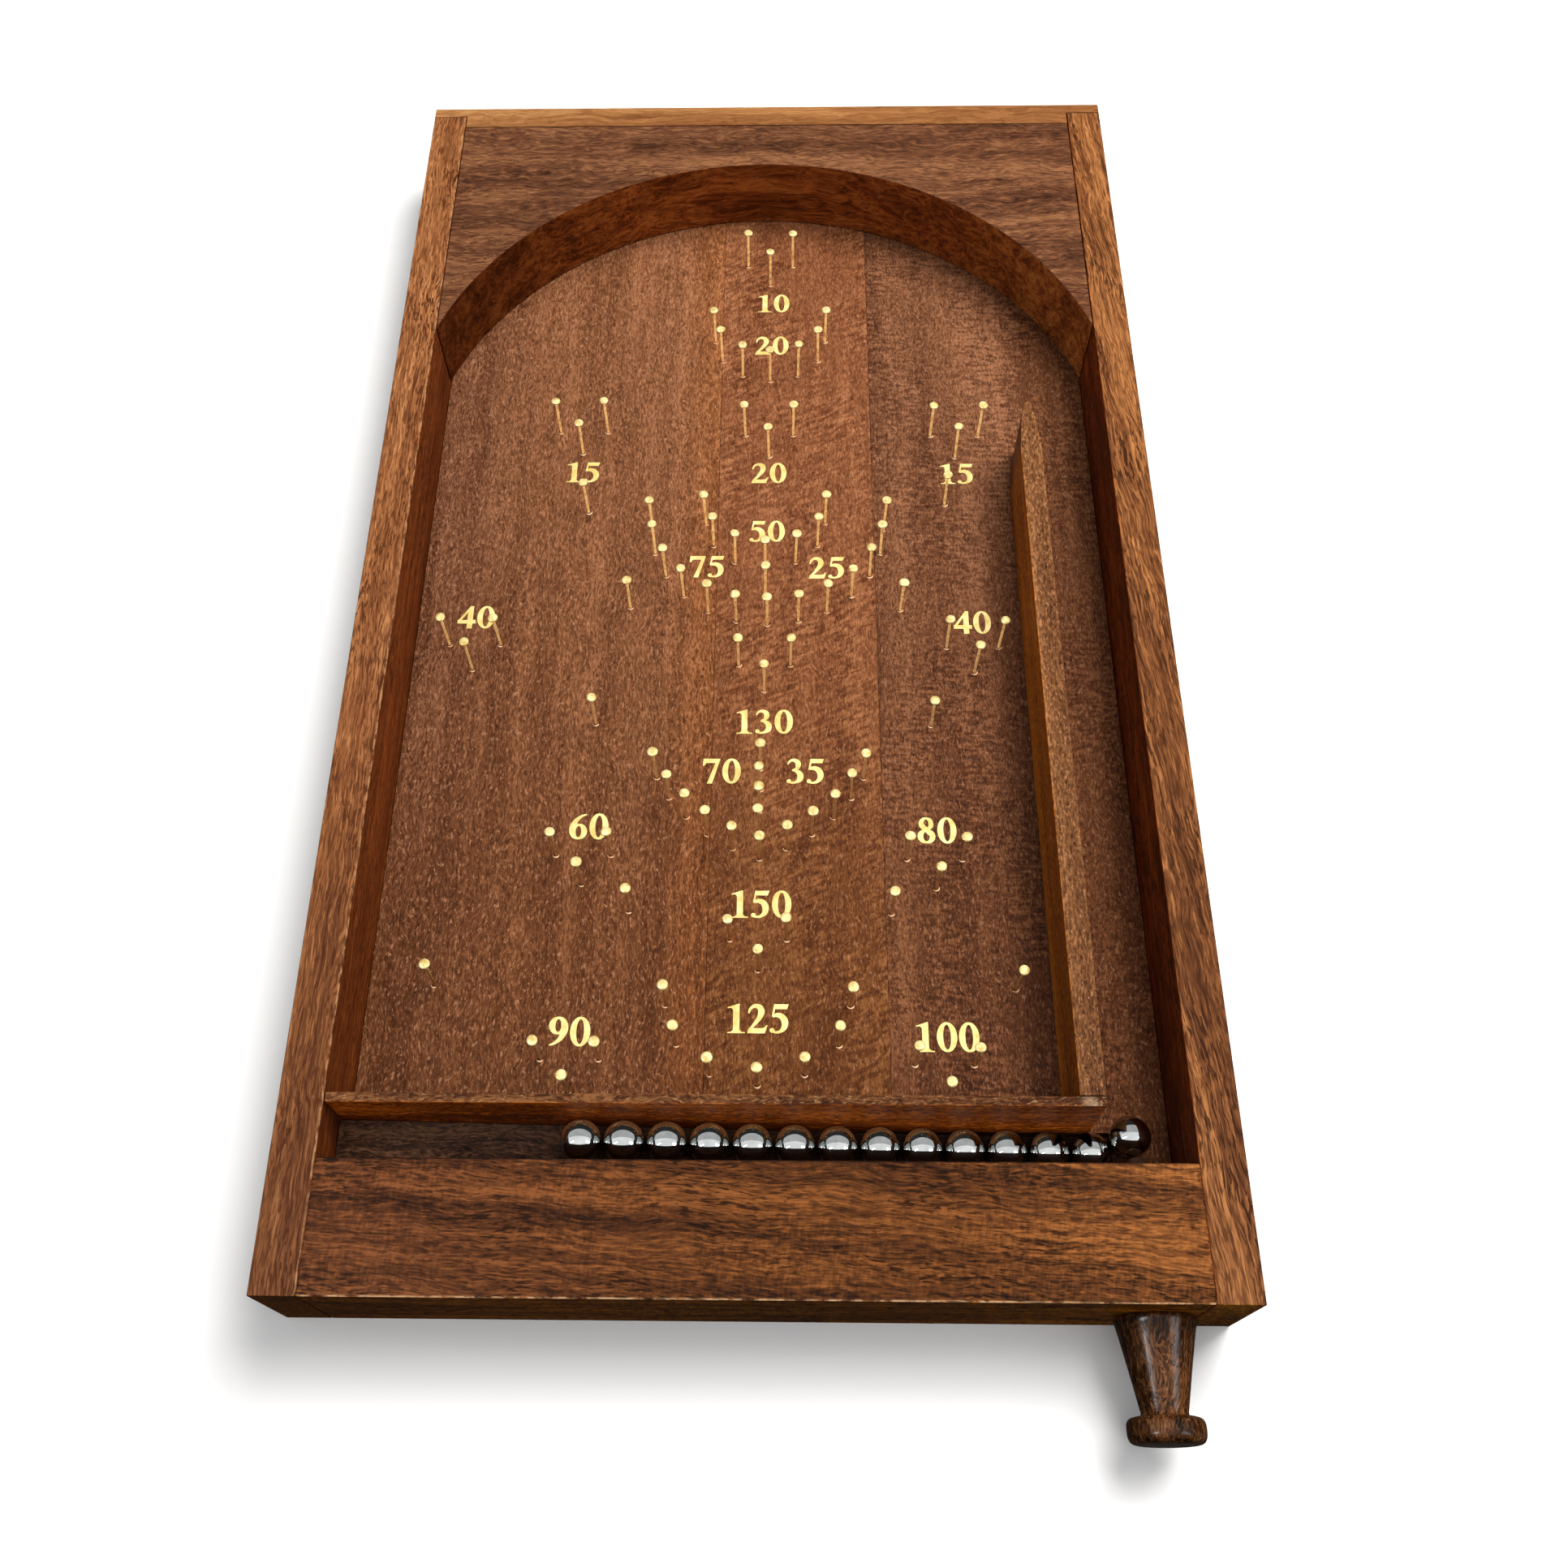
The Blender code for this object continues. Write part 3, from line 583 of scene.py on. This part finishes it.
def build_boards(mats):
    """Three boards side by side; the right one runs on into the mouth of the launch lane."""
    near, far, edge = FIELD_NEAR_Y, INNER_FAR_Y, INNER_X
    seams = [(x - half, x + half) for x, half in zip(SEAMS_X, SEAM_HALF)]
    (left_end, centre_start), (centre_end, right_start) = seams
    left = [(-edge, near), (left_end, near), (left_end, far), (-edge, far)]
    centre = [(centre_start, near), (centre_end, near), (centre_end, far), (centre_start, far)]
    right = [(right_start, near), (LANE_X, near), (LANE_X, LANE_NEAR_Y), (edge, LANE_NEAR_Y),
             (edge, far), (right_start, far)]
    for side, outline in (("left", left), ("centre", centre), ("right", right)):
        board = add_piece(f"field_board_{side}", prism(outline, FIELD_UNDER_Z, FIELD_Z),
                          [mats[f"field_{side}"]], "root", [f"playfield_{side}"])
        soften(board, 0.1, 2)


def build_arch(mats):
    """Arch block with a finely curved inner face."""
    radius, centre_y, steps = ARCH_R, ARCH_CENTRE_Y, 120
    end = math.acos(INNER_X / radius)
    outline = []
    for i in range(steps + 1):
        a = end + (math.pi - 2 * end) * i / steps
        outline.append((radius * math.cos(a), centre_y + radius * math.sin(a)))
    outline += [(-INNER_X, INNER_FAR_Y), (INNER_X, INNER_FAR_Y)]
    bm = prism(outline, ARCH_LOW_Z, RAIL_Z)
    bm.normal_update()
    for face in bm.faces:
        middle = face.calc_center_median() / MM
        inside = math.hypot(middle.x, middle.y - centre_y) < radius
        # the inner face takes the painted-shade copy of the arch wood
        face.material_index = int(inside and len(face.verts) == 4)
    arch = add_piece("arch_board", bm, [mats["arch"], mats["arch_face"]], "root", ["arch_block"])
    soften(arch, 0.25)


# ---------------------------------------------------------------- pins

# middle of each three-nail pocket's upper edge, to half a millimetre
V_POCKETS = {
    "10": (2.0, 155.0), "15_left": (-60.5, 78.0), "15_right": (64.0, 76.0), "20": (2.0, 76.5),
    "40_left": (-89.5, -7.5), "40_right": (65.5, -8.5), "60": (-51.0, -80.0), "80": (50.5, -81.0),
    "90": (-51.0, -141.0), "100": (50.5, -142.0), "130": (1.0, -15.0), "150": (0.0, -106.0),
}
# middle of the rim, half width, depth, nails, and how straight the sides are
CUPS = {
    "20": (2.2, 118.5, 19.0, 18.0, 7, 0.0), "50": (1.0, 39.5, 19.3, 18.0, 7, 0.0),
    "25_75": (1.8, 37.0, 37.5, 37.0, 13, 0.0), "35_70": (0.0, -54.5, 30.7, 26.5, 11, 0.5),
    "125": (0.0, -125.5, 25.5, 22.5, 7, 0.0),
}
SINGLES = {
    "centre": (1.0, 11.5), "cup_left": (-41.5, 6.5), "cup_right": (43.5, 5.5),
    "upper_left": (-57.0, 44.0), "upper_right": (59.5, 47.0), "middle_left": (-50.0, -36.0),
    "middle_right": (51.5, -36.5), "lower_left": (-90.0, -120.0), "lower_right": (71.0, -120.5),
    "below_60": (-37.0, -97.5), "below_80": (37.5, -98.0),
}


def cup_points(cx, cy, half, depth, count, lean):
    """Places along a cup, from round (lean 0) to V-shaped (lean 1)."""
    points = []
    for i in range(count):
        side = 2 * i / (count - 1) - 1
        step = 1 - abs(side)
        across = (1 - lean) * math.cos(step * math.pi / 2) + lean * (1 - step)
        down = (1 - lean) * math.sin(step * math.pi / 2) + lean * step
        points.append((cx + math.copysign(half * across, side), cy - depth * down))
    return points


def pin_groups():
    """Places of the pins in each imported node, in millimetres."""
    groups = {f"pins_v{k}": [(x - 8, y), (x, y - 9.2), (x + 8, y)] for k, (x, y) in V_POCKETS.items()}
    groups.update({f"pins_cup{k}": cup_points(*shape) for k, shape in CUPS.items()})
    groups["pins_column"] = [(0.0, -51.5 - 7 * i) for i in range(4)]
    groups.update({f"pin_{k}": [place] for k, place in SINGLES.items()})
    return groups


def add_pin(bm, x, y, rng):
    """Escutcheon pin: round shaft, undercut, and a worn domed head, leaning a little."""
    lean_x, lean_y = rng.uniform(-0.018, 0.018), rng.uniform(-0.018, 0.018)
    axis = Vector((lean_x, lean_y, 1.0)).normalized()
    foot = Vector((x, y, PIN_FOOT_Z)) * MM
    top = (PIN_TOP_Z - 0.12 - PIN_FOOT_Z) * MM
    r = PIN_R * MM
    head = rng.uniform(1.5, 1.62) * MM
    thick = rng.uniform(0.8, 0.95) * MM
    profile = [(r, 0), (r, top - thick - 0.5 * MM), (r * 1.15, top - thick - 0.1 * MM),
               (r * 1.5, top - thick), (head * 0.9, top - thick * 0.82), (head, top - thick * 0.62),
               (head * 0.985, top - thick * 0.45), (head * 0.86, top - thick * 0.22),
               (head * 0.62, top - thick * 0.07), (head * 0.34, top - thick * 0.01), (0, top)]
    start = len(bm.verts)
    faces = lathe(bm, foot, axis, profile, PIN_SIDES)
    for number, face in enumerate(faces):
        face.smooth = True
        # the first three bands of faces are the shaft
        face.material_index = 2 if number < 3 * PIN_SIDES else 0
    # hammer marks: the head is not quite round
    bm.verts.ensure_lookup_table()
    squeeze, turn = rng.uniform(0.93, 1.0), rng.uniform(0, math.pi)
    centre = foot + axis * top
    along = Vector((math.cos(turn), math.sin(turn), 0))
    for vert in bm.verts[start:]:
        offset = vert.co - centre
        if offset.length < 2.0 * MM and offset.z > -thick * 1.01:
            vert.co -= along * (offset.dot(along) * (1 - squeeze))
    add_burr(bm, x, y, rng)


def add_burr(bm, x, y, rng):
    """Crescent of lifted lacquer at the near side of the pin's foot, coloured pale as a painted glint."""
    start = math.radians(rng.uniform(185, 215))
    sweep = math.radians(rng.uniform(100, 165))
    steps, sides = 12, 6
    loops = []
    for i in range(steps + 1):
        t = i / steps
        a = start + sweep * t
        out = Vector((math.cos(a), math.sin(a), 0))
        width = (0.05 + 0.22 * math.sin(math.pi * t)) * MM
        centre = Vector((x, y, FIELD_Z)) * MM + out * (0.98 * MM)
        angles = [math.tau * k / sides for k in range(sides)]
        loops.append([bm.verts.new(centre + out * (width * math.cos(b))
                                   + Vector((0, 0, width * 0.8 * math.sin(b)))) for b in angles])
    for lower, upper in zip(loops, loops[1:]):
        for k in range(sides):
            j = (k + 1) % sides
            face = bm.faces.new((lower[k], lower[j], upper[j], upper[k]))
            face.smooth = True
            face.material_index = 1
    for loop in (loops[0], loops[-1]):
        bm.faces.new(loop).material_index = 1


def build_pins(mats):
    """One piece for each packed group, with a pin at each of its places."""
    for number, (node, points) in enumerate(pin_groups().items()):
        rng = random.Random(500 + number)
        bm = bmesh.new()
        for x, y in points:
            add_pin(bm, x, y, rng)
        add_piece(node.replace("pin", "nail", 1), bm, [mats["brass"], mats["chip"], mats["shaft"]],
                  "root", [node])


# ---------------------------------------------------------------- numbers

def arc(cx, cy, rx, ry, start, end, thick, thin, steps=18):
    """Pen stroke round an ellipse, thick at its sides and thin at top and bottom."""
    points = []
    for i in range(steps + 1):
        a = math.radians(start + (end - start) * i / steps)
        width = thin + (thick - thin) * abs(math.cos(a)) ** 1.4
        points.append((cx + rx * math.cos(a), cy + ry * math.sin(a), width))
    return points


def pen(*points):
    """Pen stroke through points of (x, y, width)."""
    return [tuple(p) for p in smooth_profile(points)]


def disc(cx, cy, r):
    return [(cx + r * math.cos(math.tau * i / 20), cy + r * math.sin(math.tau * i / 20)) for i in range(20)]


def six():
    """The strokes of a 6, which upside down are those of a 9."""
    return ([pen((63, 96, 5), (45, 89, 9), (27, 72, 16), (16, 46, 22), (17, 24, 20), (25, 9, 12)),
             arc(37, 30, 20, 26, 0, 360, 21, 8)], [])


def glyph(digit):
    """Strokes and filled outlines of one bold serif digit, 100 units tall."""
    if digit == "0":
        return [arc(36, 50, 22.6, 46, 0, 360, 20.5, 8, 36)], []
    if digit == "1":
        return [], [[(27, 3), (48, 3), (48, 100), (44, 100), (9, 88), (9, 84), (20, 86), (27, 80)],
                    [(9, 0), (66, 0), (66, 3.5), (55, 5), (48, 12), (27, 12), (20, 5), (9, 3.5)]]
    if digit == "2":
        return ([pen((7, 68, 5), (13, 84, 9), (28, 93, 13), (43, 87, 19), (48, 72, 21), (42, 54, 17),
                     (26, 31, 11), (7, 9, 7))],
                [[(3, 0), (60, 0), (68, 27), (64, 28), (58, 20), (50, 17.5), (14, 17.5), (3, 6)]])
    if digit == "3":
        return ([pen((9, 77, 5), (16, 89, 8), (29, 94, 12), (43, 87, 18), (46, 74, 19), (40, 60, 12),
                     (25, 53, 6)),
                 pen((24, 53, 6), (40, 50, 13), (53, 36, 21), (51, 17, 19), (37, 6, 10), (22, 4, 8),
                     (12, 8, 9))],
                [disc(13, 10, 8)])
    if digit == "4":
        return ([[(49, 96, 9), (7, 32, 9)]],
                [[(2, 22), (69, 22), (69, 38), (2, 38), (2, 30)],
                 [(38, 0), (58, 0), (58, 100), (46, 100), (38, 88)]])
    if digit == "5":
        return ([pen((13, 57, 7), (28, 62, 15), (44, 56, 20), (53, 39, 22), (50, 19, 18), (37, 6, 10),
                     (22, 4, 8), (12, 8, 9))],
                [[(19, 99), (66, 99), (60, 82), (18, 82)], [(18, 99), (25, 99), (17, 60), (10, 55)],
                 disc(12, 10, 8)])
    if digit == "6":
        return six()
    if digit == "7":
        return [], [[(7, 99), (66, 99), (66, 94), (60, 82), (18, 82), (10, 70), (5, 71)],
                    [(66, 95), (39, 0), (21, 0), (51, 86)]]
    if digit == "8":
        return [arc(36, 75, 17, 21, 0, 360, 17, 8), arc(36, 27, 21, 23, 0, 360, 20, 8),
                pen((21, 74, 12), (34, 55, 17), (52, 36, 17))], []
    strokes, shapes = six()
    return [[(72 - x, 100 - y, w) for x, y, w in stroke] for stroke in strokes], shapes


def stroke_quads(stroke):
    """Quads along a pen stroke of varying width, with a fan at each joint."""
    points = [Vector((x, y)) for x, y, _ in stroke]
    normals = []
    closed = (points[0] - points[-1]).length < 1e-6
    for i, here in enumerate(points):
        back = points[i - 1] if i else (points[-2] if closed else here)
        ahead = points[i + 1] if i + 1 < len(points) else (points[1] if closed else here)
        run = (ahead - back).normalized()
        normals.append(Vector((-run.y, run.x)))
    quads = []
    for i in range(len(points) - 1):
        a, b = stroke[i][2] / 2, stroke[i + 1][2] / 2
        quads.append([points[i] + normals[i] * a, points[i] - normals[i] * a,
                      points[i + 1] - normals[i + 1] * b, points[i + 1] + normals[i + 1] * b])
    return quads


def glyph_faces(digit):
    """Triangles that cover the union of a digit's strokes and outlines."""
    strokes, shapes = glyph(digit)
    polygons = [quad for stroke in strokes for quad in stroke_quads(stroke)]
    polygons += [[Vector(p) for p in shape] for shape in shapes]
    coords, faces = [], []
    for polygon in polygons:
        area = sum(a.x * b.y - b.x * a.y for a, b in zip(polygon, polygon[1:] + polygon[:1]))
        ordered = polygon if area > 0 else list(reversed(polygon))
        faces.append(list(range(len(coords), len(coords) + len(ordered))))
        coords.extend(ordered)
    verts, _, tris, _, _, covered_by = delaunay_2d_cdt(coords, [], faces, 1, 1e-4)
    return [tuple(v) for v in verts], [list(t) for t, owners in zip(tris, covered_by) if owners]


# each number's home, and how far right of and above it the number stands; digits lead the name
NUMBERS = {
    "10": (V_POCKETS["10"], 1.0, -18.5), "20_cup": (CUPS["20"], 0.5, -2.0),
    "15_left": (V_POCKETS["15_left"], 0.5, -17.5), "20": (V_POCKETS["20"], 0.0, -16.5),
    "15_right": (V_POCKETS["15_right"], 0.0, -16.5), "50": (CUPS["50"], 0.5, -3.5),
    "75": (CUPS["25_75"], -19.5, -15.0), "25": (CUPS["25_75"], 19.0, -15.5),
    "40_left": (V_POCKETS["40_left"], -0.5, 10.0), "40_right": (V_POCKETS["40_right"], 0.5, 9.0),
    "130": (V_POCKETS["130"], 0.0, -20.5), "70": (CUPS["35_70"], -11.5, 2.0),
    "35": (CUPS["35_70"], 13.5, 2.0), "60": (V_POCKETS["60"], 1.0, 9.0),
    "80": (V_POCKETS["80"], 1.0, 9.0), "150": (V_POCKETS["150"], 0.5, 10.5),
    "125": (CUPS["125"], 0.0, -4.0), "90": (V_POCKETS["90"], -0.5, 7.5),
    "100": (V_POCKETS["100"], 1.0, 7.5),
}
DIGIT_H = 8.45
# in hundredths of a digit's height
DIGIT_ADVANCE = 71.0
DIGIT_HALF_WIDTH = 36
FOIL_SINK, FOIL_THICK = 0.05, 0.2


def build_numbers(mats):
    """Every number is one closed sheet of foil, sunk a little into the field."""
    glyphs = {d: glyph_faces(d) for d in "0123456789"}
    unit = DIGIT_H / 100
    for name, (home, right, up) in NUMBERS.items():
        text = name.split("_")[0]
        cx, cy = home[0] + right, home[1] + up
        spread = DIGIT_ADVANCE * (len(text) - 1)
        bm = bmesh.new()
        for index, digit in enumerate(text):
            shift = index * DIGIT_ADVANCE - spread / 2 - DIGIT_HALF_WIDTH
            verts, tris = glyphs[digit]
            made = [bm.verts.new(((cx + (x + shift) * unit) * MM, (cy + (y - 50) * unit) * MM,
                                  (FIELD_Z - FOIL_SINK) * MM)) for x, y in verts]
            for tri in tris:
                bm.faces.new([made[i] for i in tri])
        bmesh.ops.dissolve_limit(bm, angle_limit=math.radians(1.0), verts=bm.verts, edges=bm.edges)
        bottom = list(bm.faces)
        made = bmesh.ops.extrude_face_region(bm, geom=bottom, use_keep_orig=True)
        lifted = [g for g in made["geom"] if isinstance(g, bmesh.types.BMVert)]
        bmesh.ops.translate(bm, verts=lifted, vec=(0, 0, FOIL_THICK * MM))
        add_piece(f"number_{name}", bm, [mats["foil"]], "root")


# ---------------------------------------------------------------- balls and plunger

def ball_mesh(radius, cuts=20):
    """Round ball of even quads, from a subdivided cube pushed out to the sphere."""
    bm = bmesh.new()
    bmesh.ops.create_cube(bm, size=2.0)
    bmesh.ops.subdivide_edges(bm, edges=bm.edges[:], cuts=cuts, use_grid_fill=True)
    for vert in bm.verts:
        x, y, z = (math.tan(c * math.pi / 4) for c in vert.co)
        vert.co = Vector((x, y, z)).normalized() * radius
    return bm


def build_balls(mats):
    """A round ball in the middle of each packed one."""
    for node in sorted(n for n in NODES if n.startswith("ball_")):
        low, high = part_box(node)
        bm = ball_mesh(BALL_R * MM)
        bmesh.ops.translate(bm, verts=bm.verts, vec=(low + high) / 2)
        add_piece(f"steel_{node}", bm, [mats["ball"]], node, [node], smooth=True)


def build_plunger(mats):
    """Knob, rod and collar; profiles hold (radius, distance out of the front face)."""
    origin = Vector((PLUNGER_X, FRONT_Y, PLUNGER_Z)) * MM
    out = Vector((0, -1, 0))
    build_knob(mats, origin, out)
    bm = bmesh.new()
    rod = [(0, 13.7), (2.6, 13.7), (3.0, 13.2), (3.0, -37.4), (2.8, -38.0), (2.2, -38.4), (1.2, -38.5),
           (0, -38.5)]
    lathe(bm, origin, out, [(r * MM, d * MM) for r, d in rod], 40)
    add_piece("push_rod", bm, [mats["rod"]], "plunger", ["plunger_rod"], smooth=True)
    build_collar(mats, origin, out)


def build_knob(mats, origin, out):
    """A cone that narrows to a bead, bored for the rod."""
    cone = [(9.55, 0.3), (9.86, 0.75), (9.86, 1.6)]
    for i in range(1, 9):
        t = i / 8
        cone.append((9.86 + (5.75 - 9.86) * (t ** 0.94), 1.6 + (21.2 - 1.6) * t))
    bead = [(5.6, 22.0), (5.95, 22.55), (7.4, 22.85), (8.6, 23.3), (9.2, 24.3), (9.3, 25.9), (9.15, 27.4),
            (8.5, 28.5), (7.2, 29.0), (5.0, 29.16), (2.5, 29.2), (0, 29.2)]
    shape = [tuple(p) for p in smooth_profile(cone + bead, 4)]
    profile = [(0.0, 14.0), (3.3, 14.0), (3.3, 0.3)] + shape
    bm = bmesh.new()
    lathe(bm, origin, out, [(max(0.0, r) * MM, d * MM) for r, d in profile], 72)
    knob = add_piece("turned_knob", bm, [mats["knob"]], "plunger", ["plunger_knob"],
                     smooth=True)
    soften(knob, 0.01, 1, 60)


def build_collar(mats, origin, out):
    """Ring on the rod that the spring pushes on."""
    bm = bmesh.new()
    sides = 48
    near, far = -29.9 * MM, -32.3 * MM
    collar = [(3.3, near), (5.1, near), (5.4, near - 0.3 * MM), (5.4, far + 0.3 * MM), (5.1, far), (3.3, far)]
    across, up = Vector((1, 0, 0)), Vector((0, 0, 1))
    loops = [ring(bm, origin + out * d, across, up, r * MM, sides) for r, d in collar]
    for lower, upper in zip(loops, loops[1:] + loops[:1]):
        for i in range(sides):
            j = (i + 1) % sides
            bm.faces.new((lower[i], lower[j], upper[j], upper[i]))
    add_piece("push_collar", bm, [mats["collar"]], "plunger", ["plunger_collar"])


def build_spring(mats):
    """Coil of round wire with its ends closed flat."""
    low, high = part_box("plunger_spring")
    wire = SPRING_WIRE_R * MM
    start, end = low.y + wire, high.y - wire
    turns, per_turn, sides = 6, 32, 10
    bm = bmesh.new()
    loops = []
    for i in range(turns * per_turn + 1):
        a = math.tau * i / per_turn
        out = Vector((math.cos(a), 0, math.sin(a)))
        centre = Vector((PLUNGER_X * MM, start + (end - start) * i / (turns * per_turn), PLUNGER_Z * MM))
        centre += out * SPRING_R * MM
        loops.append(ring(bm, centre, out, Vector((0, 1, 0)), wire, sides))
    for lower, upper in zip(loops, loops[1:]):
        for i in range(sides):
            j = (i + 1) % sides
            bm.faces.new((lower[i], lower[j], upper[j], upper[i]))
    bm.faces.new(loops[0])
    bm.faces.new(loops[-1])
    coil = add_piece("return_spring", bm, [mats["spring"]], "root", ["plunger_spring"],
                     smooth=True)
    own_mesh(coil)


# ---------------------------------------------------------------- studio

FLOOR_HALF = 3.0                                    # half the floor's side, in metres
CAMERA_PLACE = (0.006574, -0.265285, 0.402702)      # metres
CAMERA_TURN = (27.66, 0.997, 0.658)                 # degrees


def add_light(name, size, energy, place, target, colour=(1, 1, 1), glossy=True, diffuse=True,
              size_y=None):
    """Area light aimed at target: sizes in metres, energy in watts."""
    data = bpy.data.lights.new(name, "AREA")
    data.energy = energy
    data.color = colour
    data.size = size
    if size_y:
        data.shape = "RECTANGLE"
        data.size_y = size_y
    obj = bpy.data.objects.new(name, data)
    SCENE.collection.objects.link(obj)
    obj.location = place
    aim = Vector(target) - Vector(place)
    obj.rotation_mode = "QUATERNION"
    obj.rotation_quaternion = aim.to_track_quat("-Z", "Y")
    obj.visible_glossy = glossy
    obj.visible_diffuse = diffuse
    return obj


def build_studio():
    """Pale floor in a dim room, under softboxes 1 m above it."""
    world = bpy.data.worlds.new("studio")
    SCENE.world = world
    world.use_nodes = True
    background = world.node_tree.nodes["Background"]
    background.inputs["Color"].default_value = (1, 1, 1, 1)
    background.inputs["Strength"].default_value = 0.04
    add_light("overhead_softbox", 3.6, 13.8, (0.0, -0.38, 1.0), (0, -0.38, 0), size_y=0.9)
    add_light("far_softbox", 4.6, 12.0, (0.0, 0.67, 1.0), (0, 0.67, 0), diffuse=False, size_y=1.2)
    add_light("key_softbox", 0.7, 20.0, (0.42, 0.36, 1.0), (0, 0, 0), (1.0, 0.98, 0.95), glossy=False)
    add_light("left_striplight", 0.06, 9.0, (-0.82, -0.5, 1.0), (0, -0.2, 0), diffuse=False, size_y=0.5)
    add_light("right_softbox", 0.3, 5.0, (1.0, -0.5, 0.9), (0, -0.2, 0), diffuse=False, size_y=0.5)
    bm = bmesh.new()
    bmesh.ops.create_grid(bm, x_segments=8, y_segments=8, size=FLOOR_HALF)
    mesh = bpy.data.meshes.new("studio_floor")
    bm.to_mesh(mesh)
    bm.free()
    mesh.materials.append(floor_material())
    floor = bpy.data.objects.new("studio_floor", mesh)
    SCENE.collection.objects.link(floor)
    # the floor shows the shadow, but a dark room keeps its light off the sides and the steel
    floor.visible_diffuse = False
    floor.visible_glossy = False
    SCENE.view_settings.view_transform = "Standard"
    SCENE.view_settings.look = "None"


def build_camera():
    """The photo's view: from above the near end, looking down and away."""
    data = bpy.data.cameras.new("photo_camera")
    data.sensor_width = 36.0
    data.lens = 34.584
    data.shift_x = 0.0211
    data.shift_y = 0.0032
    data.clip_start = 0.01
    data.clip_end = 20.0
    camera = bpy.data.objects.new("photo_camera", data)
    SCENE.collection.objects.link(camera)
    camera.location = CAMERA_PLACE
    camera.rotation_euler = Euler([math.radians(a) for a in CAMERA_TURN], "XYZ")
    SCENE.camera = camera


build_camera()
build_studio()
MATERIALS = make_materials()
build_case(MATERIALS)
build_boards(MATERIALS)
build_arch(MATERIALS)
build_pins(MATERIALS)
build_numbers(MATERIALS)
build_balls(MATERIALS)
build_plunger(MATERIALS)
build_spring(MATERIALS)
